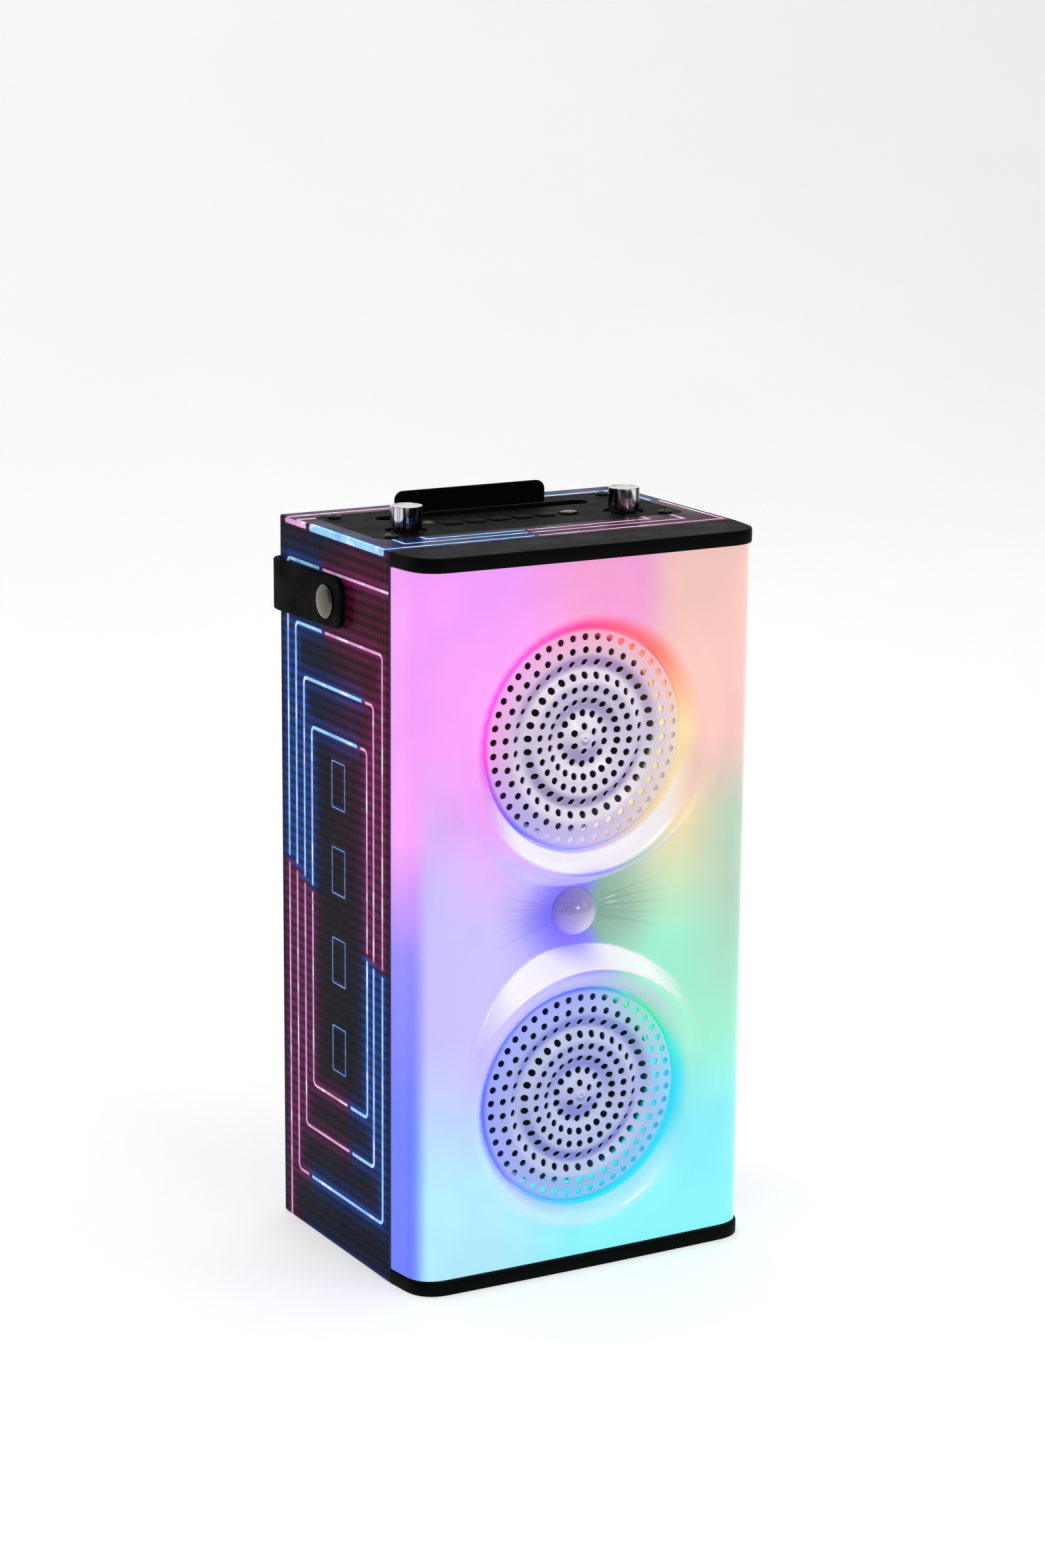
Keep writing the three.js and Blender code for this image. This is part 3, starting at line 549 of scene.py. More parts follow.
def diffuser_material():
    s = Shade("lit_diffuser", Specular_IOR_Level=0.3, Coat_Weight=0.35, Coat_Roughness=0.08)
    height = s.math("DIVIDE", s.z, HEIGHT)
    colour = None
    for column, (x, stops) in enumerate(COLUMNS):
        strip = s.ramp(height, [(z / HEIGHT, srgb(*rgb)) for z, rgb in stops])
        if colour is None:
            colour = strip
        else:
            colour = s.mix(s.step(s.x, COLUMNS[column - 1][0], x), colour, strip)
    colour, from_dome = dome_glow(s, colour)
    away = []
    for place_name in COVER_Z:
        glow, distance = rim_glow(s, place_name)
        colour = s.mix(s.step(distance, 56.4, {"upper": 65, "lower": 62}[place_name], 1.0, 0.0), colour, glow)
        away.append(distance)
    # painted light and shade: faces of the lips that look up are painted pale, as if lit from above, and
    # those that look down get painted shade
    upward = s.upward()
    nearest = s.math("MINIMUM", *away)
    lip = s.times(s.step(nearest, 75, 80, 1.0, 0.0), s.step(nearest, 55.8, 57.5))
    pale = s.times(s.step(s.z, 60, 120, 0.3, 0.9), s.step(from_dome, 12, 30))
    pale = s.times(pale, s.step(s.math("ABSOLUTE", s.x), 36, 62, 1.0, 0.15))
    pale = s.times(s.times(pale, lip), s.step(upward, 0.0, 0.4))
    colour = s.mix(pale, colour, srgb(255, 250, 255))
    # painted shade on the lips' faces that look down
    painted_underside_shade = s.times(lip, s.step(upward, -0.1, -0.6, 0.0, 0.7))
    painted_underside_shade = s.times(painted_underside_shade, s.step(s.z, 230, 212))
    colour = s.mix(painted_underside_shade, colour, s.mix(s.step(s.x, -50, 40), srgb(196, 184, 252), srgb(188, 196, 214)))
    # painted shade: faces in the waist and its ribs that look down are darkened
    painted_groove_shade = s.times(s.step(nearest, 75, 80), s.step(upward, 0.06, -0.3, 0.0, 0.3))
    colour = s.mix(painted_groove_shade, colour, srgb(96, 110, 118))
    # painted shade: a darker blue ring deep in the recess where the shell folds into the sleeves round the
    # covers
    depth = s.times(s.step(s.y, -17.8, -16.5), s.step(s.y, -13, -9, 0.6, 0.0))
    painted_mouth_shade = s.times(s.step(nearest, 56.8, 56.4), depth)
    colour = s.mix(painted_mouth_shade, colour, srgb(84, 130, 215))
    cloud = s.step(s.noise(0.02, 2.0), 0.35, 0.65)
    lit = s.mix(1.0, colour, s.mix(cloud, srgb(246, 246, 250), srgb(255, 255, 255)), "MULTIPLY")
    s.drive("Emission Color", lit)
    s.drive("Emission Strength", 0.9)
    s.drive("Base Color", s.mix(0.86, lit, srgb(16, 16, 20)))
    s.drive("Roughness", s.step(s.noise(0.05, 3.0), 0.3, 0.7, 0.2, 0.3))
    s.bump(s.noise(0.12, 2.0), 0.05, 0.1)
    return s.material


M["diffuser"] = diffuser_material()


def cover_material(place_name):
    s = Shade("cover_plastic_" + place_name, IOR=1.5, Coat_Weight=0.25, Coat_Roughness=0.12)
    shaded, lighted = {
        "upper": (srgb(128, 110, 174), srgb(248, 240, 252)),
        "lower": (srgb(88, 100, 200), srgb(204, 212, 246)),
    }[place_name]
    fine = s.noise(1.6, 4.0)
    # painted light and shade: faces that look up get the lighted colour and faces that look down the shaded
    # one
    body = s.mix(s.step(s.upward(), -0.4, 0.35), shaded, lighted)
    white = s.mix(s.times(fine, 0.25), body, srgb(232, 228, 242))
    # painted light: the strips' glow is painted on near the rim, and the whole cover glows by its emission
    glow, distance = rim_glow(s, place_name)
    near = s.math("MAXIMUM", s.step(distance, 32, 56, 0.0, 0.45), s.step(distance, 51, 55, 0.0, 0.8))
    tone = s.mix(near, white, glow)
    s.drive("Base Color", tone)
    s.drive("Emission Color", tone)
    s.drive("Emission Strength", s.step(distance, 36, 56, 0.18, 0.3))
    s.drive("Roughness", s.step(s.noise(0.1, 3.0), 0.3, 0.7, 0.28, 0.4))
    s.bump(fine, 0.12, 0.03)
    return s.material


for key in COVER_Z:
    M["cover_" + key] = cover_material(key)


def lit_inside(name, place_names, dark, light):
    """An inner face with painted light: the strips' glow is painted into its emission in a ring near the
    covers' sleeves.
    """
    s = Shade(name, Roughness=0.7)
    grain = s.noise(1.2, 4.0)
    s.drive("Base Color", s.mix(grain, dark, light))
    lit = srgb(0, 0, 0)
    for place_name in place_names:
        glow, distance = rim_glow(s, place_name)
        painted_light_band = s.times(s.step(distance, 48.5, 53), s.step(distance, 62, 58))
        lit = s.mix(painted_light_band, lit, glow)
    s.drive("Emission Color", lit)
    s.drive("Emission Strength", 1.15)
    s.bump(grain, 0.4, 0.1)
    return s.material


M["baffle"] = lit_inside("black_board", COVER_Z, srgb(8, 8, 9), srgb(20, 20, 22))
for key in COVER_Z:
    M["basket_" + key] = lit_inside("basket_steel_" + key, [key], srgb(30, 30, 33), srgb(52, 52, 56))


# ---- meshes ----
def fillet(points, radius, steps=4):
    """An open line of points with its inner corners rounded."""
    rounded = [points[0]]
    for before, corner, after in zip(points, points[1:], points[2:]):
        a, p, b = Vector(before), Vector(corner), Vector(after)
        cut = min(radius, (a - p).length * 0.45, (b - p).length * 0.45)
        start = p + (a - p).normalized() * cut
        end = p + (b - p).normalized() * cut
        for k in range(steps + 1):
            t = k / steps
            rounded.append(tuple(start * (1 - t) ** 2 + p * 2 * t * (1 - t) + end * t * t))
    rounded.append(points[-1])
    return rounded


def make_piece(name, vertices, faces, material, body="speaker", stands_for=(), slot=None, sharp=35):
    """One closed mesh piece from points in millimetres, shaded smooth except at sharp edges."""
    mesh = bpy.data.meshes.new(name)
    mesh.from_pydata([place(*v) for v in vertices], [], faces)
    mesh.validate()
    tidy = bmesh.new()
    tidy.from_mesh(mesh)
    bmesh.ops.remove_doubles(tidy, verts=tidy.verts, dist=1e-7)
    bmesh.ops.recalc_face_normals(tidy, faces=tidy.faces)
    tidy.to_mesh(mesh)
    tidy.free()
    mesh.materials.append(material)
    return add_piece(name, mesh, body, stands_for, slot, sharp)


def add_piece(name, mesh, body, stands_for, slot, sharp):
    mesh.shade_smooth()
    mesh.set_sharp_from_angle(angle=math.radians(sharp))
    piece = put(name, mesh)
    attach(piece, body)
    if stands_for:
        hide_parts(*stands_for)
    return piece


def lathe(profile, axis, middle, segments=96):
    """Points and faces of a profile of (radius, height) turned about an axis through middle."""
    vertices, faces = [], []
    for radius, height in profile:
        for k in range(segments):
            angle = 2 * math.pi * k / segments
            a, b = radius * math.cos(angle), radius * math.sin(angle)
            vertices.append({
                "z": (middle[0] + a, middle[1] + b, height),
                "y": (middle[0] + a, height, middle[1] + b),
                "x": (height, middle[0] + a, middle[1] + b),
            }[axis])
    for i in range(len(profile) - 1):
        for k in range(segments):
            n = (k + 1) % segments
            p, q = i * segments, (i + 1) * segments
            faces.append((p + k, p + n, q + n, q + k))
    return vertices, faces


def put(name, data):
    """A new object in the scene."""
    thing = bpy.data.objects.new(name, data)
    bpy.context.scene.collection.objects.link(thing)
    return thing


def rounded_rect(middle, half, radius, grow=0.0, steps=8):
    """Outline of a rounded rectangle, anticlockwise, moved outwards by grow."""
    hx, hy = half[0] + grow, half[1] + grow
    r = min(max(radius + grow, 0.25), hx - 0.01, hy - 0.01)
    points = []
    for quarter, (sx, sy) in enumerate(((1, 1), (-1, 1), (-1, -1), (1, -1))):
        for k in range(steps + 1):
            angle = math.pi / 2 * (quarter + k / steps)
            x = middle[0] + sx * (hx - r) + r * math.cos(angle)
            y = middle[1] + sy * (hy - r) + r * math.sin(angle)
            points.append((x, y))
    return points


def circle(middle, radius, grow=0.0, steps=64):
    r = radius + grow
    angles = [2 * math.pi * k / steps for k in range(steps)]
    return [(middle[0] + r * math.cos(a), middle[1] + r * math.sin(a)) for a in angles]


def inside(point, outline):
    x, y = point
    found = False
    for (ax, ay), (bx, by) in zip(outline, outline[1:] + outline[:1]):
        if (ay > y) != (by > y) and x < (bx - ax) * (y - ay) / (by - ay) + ax:
            found = not found
    return found


def fill(outer, holes):
    """Triangles, as rows of points, that fill an outline with holes."""
    points, edges = [], []
    for outline in [outer, *holes]:
        first = len(points)
        points += [Vector(p) for p in outline]
        edges += [(first + k, first + (k + 1) % len(outline)) for k in range(len(outline))]
    made, _, triangles, *_ = delaunay_2d_cdt(points, edges, [], 0, 1e-6)
    kept = []
    for triangle in triangles:
        middle = sum((made[k] for k in triangle), Vector((0, 0))) / 3
        if inside(middle, outer) and not any(inside(middle, hole) for hole in holes):
            kept.append(tuple(triangle))
    return made, kept


def flanked(profile):
    """The profile with a narrow flat margin at both ends, which keeps the flat faces evenly shaded."""
    (first_inset, top), (last_inset, under) = profile[0], profile[-1]
    return [(first_inset + 0.35, top), *profile, (last_inset + 0.35, under)]


def plate(outer, holes, turn=lambda u, v, w: (u, v, w)):
    """A plate whose edge and holes each follow a profile of (inset, height) from the top to the underside.
    outer and every hole is (outline, profile), where outline(grow) gives points."""
    vertices, faces = [], []
    for sign, (outline, profile) in [(-1, outer)] + [(1, hole) for hole in holes]:
        first = len(vertices)
        loops = [(outline(sign * inset), height) for inset, height in flanked(profile)]
        for points, height in loops:
            vertices += [turn(u, v, height) for u, v in points]
        count = len(loops[0][0])
        for i in range(len(loops) - 1):
            for k in range(count):
                p, q, n = first + i * count, first + (i + 1) * count, (k + 1) % count
                faces.append((p + k, p + n, q + n, q + k))
    for end in (0, -1):
        height = outer[1][end][1]
        rim = outer[0](-flanked(outer[1])[end][0])
        gaps = [outline(flanked(profile)[end][0]) for outline, profile in holes]
        points, triangles = fill(rim, gaps)
        shift = len(vertices)
        vertices += [turn(p[0], p[1], height) for p in points]
        faces += [tuple(k + shift for k in triangle) for triangle in triangles]
    return vertices, faces


def edge(top, under, soft):
    """A plate edge profile that is rounded at the top and a little at the underside."""
    rounding = []
    for k in range(5):
        angle = math.pi / 2 * k / 4
        rounding.append((soft * (1 - math.sin(angle)), top - soft * (1 - math.cos(angle))))
    return rounding + [(0.0, under + 0.15), (0.15, under)]


# ---- cabinet, wrapped in one printed film ----
def rounded_box(low, high, radius=0):
    made = bmesh.new()
    bmesh.ops.create_cube(made, size=1)
    for v in made.verts:
        share = [c + 0.5 for c in v.co]
        v.co = place(*[a + (b - a) * t for a, b, t in zip(low, high, share)])
    if radius:
        geometry = made.edges[:]
        bmesh.ops.bevel(made, geom=geometry, offset=radius * MM, segments=4, affect="EDGES", profile=0.5)
    mesh = bpy.data.meshes.new("shape")
    made.to_mesh(mesh)
    made.free()
    return mesh


def cut(mesh, *tools):
    """The mesh with the tools' shapes taken out of it."""
    target = put("target", mesh)
    helpers = []
    for tool in tools:
        helper = put("tool", tool)
        helpers.append(helper)
        modifier = target.modifiers.new("cut", "BOOLEAN")
        modifier.operation = "DIFFERENCE"
        modifier.solver = "EXACT"
        modifier.object = helper
    made = bpy.data.meshes.new_from_object(target.evaluated_get(bpy.context.evaluated_depsgraph_get()))
    for helper in [target, *helpers]:
        bpy.data.objects.remove(helper)
    return made


def prism(outline, low, high):
    """A closed mesh between two heights."""
    count = len(outline)
    vertices = [place(x, y, low) for x, y in outline] + [place(x, y, high) for x, y in outline]
    faces = [tuple(range(count))[::-1], tuple(range(count, 2 * count))]
    faces += [(k, (k + 1) % count, count + (k + 1) % count, count + k) for k in range(count)]
    mesh = bpy.data.meshes.new("prism")
    mesh.from_pydata(vertices, [], faces)
    return mesh


def make_cabinet():
    half = WIDTH / 2
    outer = rounded_box((-half, 0, 0), (half, DEPTH, HEIGHT), 1.1)
    inner = rounded_box((-half + BOARD, -5, BOARD), (half - BOARD, DEPTH - BOARD, HEIGHT - BOARD))
    opening = prism(rounded_rect(PANEL_MIDDLE, PANEL_HALF, 6.0, 0.3), PANEL_UNDERSIDE - 0.3, HEIGHT + 5)
    ledge = (PANEL_HALF[0] - 16, PANEL_HALF[1] - 8)
    through = prism(rounded_rect(PANEL_MIDDLE, ledge, 1.0), HEIGHT - 9, HEIGHT - 1)
    port = rounded_box((-6.5, DEPTH - 8, 56), (6.5, DEPTH + 3, 64))
    mesh = cut(outer, inner, opening, through, port)
    mesh.materials.clear()
    for material in (side_print(), top_print(), back_print(), base_film(), M["board"]):
        mesh.materials.append(material)
    for face in mesh.polygons:
        middle = face.center / MM - Vector((0, EDGE_Y / MM, 0))
        normal = face.normal
        beside = abs(middle.x) > half - 1.3 or middle.y > DEPTH - 1.3
        shell = beside or middle.z > HEIGHT - 1.3 or middle.z < 1.3
        largest = max(range(3), key=lambda axis: abs(normal[axis]))
        if middle.y < 1.3 and largest == 1:
            face.material_index = 3
        elif not shell:
            face.material_index = 4
        elif largest == 0:
            face.material_index = 0
        elif largest == 1:
            face.material_index = 2
        else:
            face.material_index = 1 if normal.z > 0 else 3
    boards = ["side_board_left", "side_board_right", "top_board", "base_board", "back_board"]
    wrap = add_piece("cabinet_wrap", mesh, "speaker", boards, "wrap", 35).data
    sharp = wrap.attributes["sharp_edge"].data
    for face in wrap.polygons:
        if face.area > 30 * MM * MM:
            for k in face.loop_indices:
                sharp[wrap.loops[k].edge_index].value = True


make_cabinet()


# ---- front module ----
CAP_FRONT = -30.0
SHELL_INSET = 2.0
# the module's front is a shallow arc between these two x, and its corners lie beyond them
FLAT_X = 80


def module_plan(side, front, steps=10):
    """Plan of the module from its left back corner round the front to its right back corner."""
    back = WIDTH / 2 - 0.3 - side
    waist = WIDTH / 2 - 1.6 - side
    y = CAP_FRONT + front
    corner = []
    for k in range(steps + 1):
        t = k / steps
        x = -waist * (1 - t) ** 2 + (-waist + 1.3) * 2 * t * (1 - t) - FLAT_X * t * t
        corner.append((x, -13 * (1 - t) ** 2 + (y + 1.8) * 2 * t * (1 - t) + (y + 0.8) * t * t))
    face = []
    for k in range(1, 2 * steps):
        t = k / (2 * steps)
        bulge = (y + 0.8) * ((1 - t) ** 2 + t * t) + (y - 0.8) * 2 * t * (1 - t)
        face.append((-FLAT_X + 2 * FLAT_X * t, bulge))
    mirrored = [(-x, v) for x, v in reversed(corner)]
    return [(-back, -0.8)] + corner + face + mirrored + [(back, -0.8)]


def make_cap(name, low, high, node):
    def outline(grow):
        return module_plan(-grow, -grow)

    soft = 0.7
    profile = [(soft, high), (soft * 0.3, high - soft * 0.3), (0, high - soft)]
    profile += [(0, low + soft), (soft * 0.3, low + soft * 0.3), (soft, low)]
    vertices, faces = plate((outline, profile), [])
    make_piece(name, vertices, faces, M["black"], stands_for=[node], slot="black_plastic", sharp=40)


make_cap("base_cap", 0, 7.3, "cap_base")
make_cap("top_cap", HEIGHT - 7.3, HEIGHT, "cap_top")

SHELL_LOW, SHELL_HIGH = 7.6, HEIGHT - 7.6
SLEEVE_RADIUS = COVER_RADIUS + 0.6
SLEEVE_MOUTH = -20.2
RIDGE = 67.0
DOME_HOLE = 12.7
FAN_SLOPE = 0.46
DISH_SEGMENTS = 216


def hollow(x, z):
    """How far the shell's face is pressed in at (x, z): two dishes, the waist between them and its ribs."""
    around = [math.hypot(x, z - c) for c in COVER_Z.values()]
    face = -CAP_FRONT - SHELL_INSET
    nearest = min(around)
    if nearest < RIDGE:
        share = (RIDGE - max(nearest, SLEEVE_RADIUS)) / (RIDGE - SLEEVE_RADIUS)
        return (face + SLEEVE_MOUTH) * share ** 1.7
    waist = 16.8 * (1 - smooth((abs(x) - 9) / 76))
    walls = smooth((around[0] - RIDGE) / 9) * smooth((around[1] - RIDGE) / 9)
    across = max(0.0, 1 - abs(z - DOME_Z) / 75)
    dome = math.hypot(x, z - DOME_Z)
    angle = math.degrees(math.atan2(z - DOME_Z, abs(x)))
    fan = smooth((23 - abs(angle)) / 8) * smooth((dome - 13) / 3) * (1 - smooth((dome - 22) / 38))
    ribs = 0.2 * fan * math.cos(math.radians(angle) * 360 / 8)
    return (waist * smooth(across * 3) + ribs) * walls


def shell_point(u, z):
    """Where a point of the flat pattern lies: u is the way round the plan, and both sleeves fold in."""
    for centre in COVER_Z.values():
        r = math.hypot(u, z - centre)
        if r < SLEEVE_RADIUS:
            k = SLEEVE_RADIUS / r
            return u * k, SLEEVE_MOUTH + (SLEEVE_RADIUS - r) * 2.0, centre + (z - centre) * k
    x = min(max(u, -FLAT_X), FLAT_X)
    face = -27.2 - 0.8 * (1 - (x / FLAT_X) ** 2)
    if abs(u) <= FLAT_X:
        return u, face + hollow(u, z), z
    side = 1 if u > 0 else -1
    beyond = abs(u) - FLAT_X
    px, py = shell_side(beyond)
    return side * px, py, z


SHELL_SIDE = module_plan(0.7, SHELL_INSET, 12)[-14:]


def shell_side(beyond):
    """The point of the plan that lies this far along it past FLAT_X, towards the back."""
    left = beyond
    for (ax, ay), (bx, by) in zip(SHELL_SIDE, SHELL_SIDE[1:]):
        length = math.hypot(bx - ax, by - ay)
        if left <= length:
            t = left / length
            return ax + (bx - ax) * t, ay + (by - ay) * t
        left -= length
    return SHELL_SIDE[-1]


def thicken(name, vertices, faces, wall):
    """A closed skin: the surface with a wall behind it, away from the viewer in front."""
    mesh = bpy.data.meshes.new(name)
    mesh.from_pydata([place(*v) for v in vertices], [], faces)
    tidy = bmesh.new()
    tidy.from_mesh(mesh)
    bmesh.ops.recalc_face_normals(tidy, faces=tidy.faces)
    if sum(f.normal.y * f.calc_area() for f in tidy.faces) > 0:
        bmesh.ops.reverse_faces(tidy, faces=tidy.faces)
    tidy.to_mesh(mesh)
    tidy.free()
    holder = put("holder", mesh)
    modifier = holder.modifiers.new("wall", "SOLIDIFY")
    modifier.thickness = wall * MM
    modifier.offset = -1
    modifier.use_even_offset = False
    made = bpy.data.meshes.new_from_object(holder.evaluated_get(bpy.context.evaluated_depsgraph_get()))
    bpy.data.objects.remove(holder)
    return made


def flat_mesh(points, loops, keep):
    """Triangles over scattered points with closed loops kept as edges. keep(middle) picks the triangles."""
    every = [Vector(p) for p in points]
    edges = []
    for loop in loops:
        first = len(every)
        every += [Vector(p) for p in loop]
        edges += [(first + k, first + (k + 1) % len(loop)) for k in range(len(loop))]
    made, _, triangles, *_ = delaunay_2d_cdt(every, edges, [], 0, 1e-5)
    kept = [tuple(t) for t in triangles if keep(sum((made[k] for k in t), Vector((0, 0))) / 3)]
    return [(p[0], p[1]) for p in made], kept


def from_covers(x, z):
    return min(math.hypot(x, z - centre) for centre in COVER_Z.values())


def make_shell():
    reach = FLAT_X + sum(math.dist(a, b) for a, b in zip(SHELL_SIDE, SHELL_SIDE[1:]))
    fold = SLEEVE_RADIUS - 9.5
    centres = list(COVER_Z.values())
    points = []
    step = 1.5
    columns = round(2 * reach / step)
    rows = round((SHELL_HIGH - SHELL_LOW) / step)
    for i in range(1, columns):
        for j in range(1, rows):
            x = -reach + 2 * reach * i / columns
            z = SHELL_LOW + (SHELL_HIGH - SHELL_LOW) * j / rows
            dome = math.hypot(x, z - DOME_Z)
            in_fan = dome < 76 and abs(z - DOME_Z) < abs(x) * FAN_SLOPE
            if from_covers(x, z) > 76.5 and dome > 24 and not in_fan:
                points.append((x, z))
    for centre in centres:
        radii = [fold + 3.2, fold + 6.4, SLEEVE_RADIUS]
        radii += [SLEEVE_RADIUS + 0.9 * k for k in range(1, 23)]
        for n, r in enumerate(radii):
            for k in range(DISH_SEGMENTS):
                angle = 2 * math.pi * (k + 0.5 * (n % 2)) / DISH_SEGMENTS
                points.append((r * math.cos(angle), centre + r * math.sin(angle)))
    for n in range(12):
        r = DOME_HOLE + 0.9 * (n + 1)
        for k in range(96):
            angle = 2 * math.pi * (k + 0.5 * (n % 2)) / 96
            x, z = r * math.cos(angle), DOME_Z + r * math.sin(angle)
            in_fan = r > 14 and abs(z - DOME_Z) < abs(x) * FAN_SLOPE
            if from_covers(x, z) > 75.8 and not in_fan:
                points.append((x, z))
    for side in (-1, 1):
        for n in range(38):
            r = 14.2 + 1.7 * n
            for k in range(-44, 45):
                angle = math.radians(0.56 * k)
                x, z = side * r * math.cos(angle), DOME_Z + r * math.sin(angle)
                if from_covers(x, z) > 76.2:
                    points.append((x, z))
    corners = [(-reach, SHELL_LOW), (reach, SHELL_LOW), (reach, SHELL_HIGH), (-reach, SHELL_HIGH)]
    border = []
    for side, ((ax, az), (bx, bz)) in enumerate(zip(corners, corners[1:] + corners[:1])):
        count = rows if side % 2 else columns
        border += [(ax + (bx - ax) * k / count, az + (bz - az) * k / count) for k in range(count)]
    loops = [border, circle((0, DOME_Z), DOME_HOLE, 0, 96)]
    loops += [circle((0, c), fold, 0, DISH_SEGMENTS) for c in centres]

    def keep(middle):
        if math.hypot(middle[0], middle[1] - DOME_Z) < DOME_HOLE:
            return False
        return all(math.hypot(middle[0], middle[1] - c) > fold for c in centres)

    flat, triangles = flat_mesh(points, loops, keep)
    mesh = thicken("front_diffuser", [shell_point(*p) for p in flat], triangles, 1.8)
    mesh.materials.append(M["diffuser"])
    add_piece("front_diffuser", mesh, "speaker", ["front_shell"], "diffuser", 60)


make_shell()


# ---- driver covers with their round holes ----
# eight rings at a pitch of a quarter inch; hole counts from the innermost ring, rings from the outermost
RING_PITCH = 6.35
RING_HOLES = (6, 14, 22, 26, 30, 34, 38, 46)
RINGS = [(count, RING_PITCH * (k + 1)) for k, count in enumerate(RING_HOLES)][::-1]
HOLE_RADIUS = 1.8


# depth of the cover's face below its highest rings, by radius
WAVE = [(0, 0.0), (4, 0.3), (13.5, 3.0), (22, 0.6), (28.5, 0.0), (35, 2.6), (42, 0.2), (COVER_RADIUS, 1.3)]


def cover_wave(r):
    for (a, start), (b, end) in zip(WAVE, WAVE[1:]):
        if r <= b:
            break
    y = COVER_Y - 2.2 + start + (end - start) * smooth((r - a) / (b - a))
    y -= 0.7 * (1 - smooth((r - 1.6) / 0.7)) - 0.5 * (1 - smooth((r - 0.5) / 0.6))
    rim = min(max(r - 53.1, 0) / 2.2, 1)
    return y + 2.2 * (1 - math.sqrt(1 - rim * rim))


def make_cover(place_name, centre):
    holes = []
    for count, radius in RINGS:
        for k in range(count):
            angle = 2 * math.pi * (k + 0.5) / count
            holes.append((radius * math.cos(angle), radius * math.sin(angle)))
    skirt = COVER_RADIUS + 1.8
    points = [(0.0, 0.0)]
    radii = [0.5, 0.9, 1.3, 1.7, 2.0, 2.4] + [2.4 + 1.2 * k for k in range(1, 43)]
    radii += [53.4, 53.9, 54.4, 54.8, 55.1, 55.3, 56.2]
    for n, r in enumerate(radii):
        count = max(8, round(2 * math.pi * r / 1.7))
        for k in range(count):
            angle = 2 * math.pi * (k + 0.5 * (n % 2)) / count
            x, z = r * math.cos(angle), r * math.sin(angle)
            if all(math.hypot(x - hx, z - hz) > HOLE_RADIUS + 0.4 for hx, hz in holes if abs(hx - x) < 3):
                points.append((x, z))
    loops = [circle(hole, HOLE_RADIUS, 0, 14) for hole in holes]
    loops.append(circle((0, 0), skirt, 0, 160))

    def keep(middle):
        near = (hole for hole in holes if abs(hole[0] - middle[0]) < 2)
        return all(math.hypot(middle[0] - hx, middle[1] - hz) > HOLE_RADIUS * 0.97 for hx, hz in near)

    flat, triangles = flat_mesh(points, loops, keep)
    vertices = []
    for x, z in flat:
        r = math.hypot(x, z)
        if r > COVER_RADIUS:
            k = COVER_RADIUS / r
            vertices.append((x * k, cover_wave(COVER_RADIUS) + (r - COVER_RADIUS) * 1.2, centre + z * k))
        else:
            vertices.append((x, cover_wave(r), centre + z))
    mesh = thicken("cover_" + place_name, vertices, triangles, 0.9)
    mesh.materials.append(M["cover_" + place_name])
    node = "driver_cover_" + place_name
    add_piece("perforated_cover_" + place_name, mesh, "speaker", [node], "cover_plastic", 50)


for key, centre_z in COVER_Z.items():
    make_cover(key, centre_z)


def make_dome():
    plane = -9
    profile = [(0.01, -21.3)]
    for k in range(1, 23):
        a = math.radians(4 * k)
        profile.append((DOME_RADIUS * math.sin(a), plane - DOME_RADIUS * math.cos(a)))
    profile += [(DOME_RADIUS, plane), (14.4, plane), (14.4, -7.6)]
    profile += [(11, -7.6), (11, plane), (7.8, -16.8), (0.01, -20)]
    make_piece("dome", *lathe(profile, "y", (0, DOME_Z)), M["dome"], "speaker", ["dome_lens"], "dome_plastic")


make_dome()


# ---- control panel ----
def button_x(i):
    return (i - 2.5) * BUTTON_PITCH


def slot_outline(grow):
    return rounded_rect((0, 82.75), (60.5, 5.25), 5.24, grow, 14)


def make_panel():
    holes = [(slot_outline, edge(PANEL_TOP, PANEL_UNDERSIDE, 0.8))]
    for i in range(6):
        middle = (button_x(i), BUTTON_Y)
        holes.append((
            lambda grow, middle=middle: rounded_rect(middle, (5.35, 4.5), 3.3, grow, 6),
            edge(PANEL_TOP, PANEL_UNDERSIDE, 0.35),
        ))
    for side in (-1, 1):
        middle = (side * KNOB_X, KNOB_Y)
        floor = PANEL_TOP - 1.2
        well = [(0.4, PANEL_TOP), (0.12, PANEL_TOP - 0.12), (0, PANEL_TOP - 0.4)]
        well += [(0, floor + 0.3), (-0.3, floor), (-6.6, floor), (-6.6, PANEL_UNDERSIDE)]
        holes.append((lambda grow, middle=middle: circle(middle, 10.3, grow), well))
    for screw in SCREWS:
        hole = [(0, PANEL_TOP), (0, PANEL_UNDERSIDE)]
        holes.append((lambda grow, screw=screw: circle(screw, 1.7, grow, 24), hole))
    collar = [(0.2, PANEL_TOP), (0, PANEL_TOP - 0.2), (0, PANEL_UNDERSIDE)]
    holes.append((lambda grow: circle(SOCKET, 3.9, grow, 40), collar))
    rim = edge(PANEL_TOP, PANEL_UNDERSIDE, 0.5)
    solid = plate((lambda grow: rounded_rect(PANEL_MIDDLE, PANEL_HALF, 6.0, grow), rim), holes)
    make_piece("top_panel", *solid, M["panel"], "speaker", ["control_panel"], "black_plastic", 40)


make_panel()


def make_rest():
    low, high = PANEL_TOP + 0.3, 380.0
    middle = ((-46.9 + 39) / 2, (low + high) / 2)
    half = ((39 + 46.9) / 2, (high - low) / 2)

    def outline(grow):
        points = rounded_rect(middle, half, 4.6, grow, 10)
        square = rounded_rect(middle, half, 0.4, grow, 10)
        return [a if a[1] > middle[1] else b for a, b in zip(points, square)]

    profile = [(0.5, 0), (0.15, 0.15), (0, 0.5), (0, 1.7), (0.15, 2.05), (0.5, 2.2)]
    solid = plate((outline, profile), [], lambda u, v, w: (u, 88.3 + w, v))
    make_piece("rest_plate", *solid, M["panel"], "speaker", ["device_rest"], "black_plastic", 40)


make_rest()


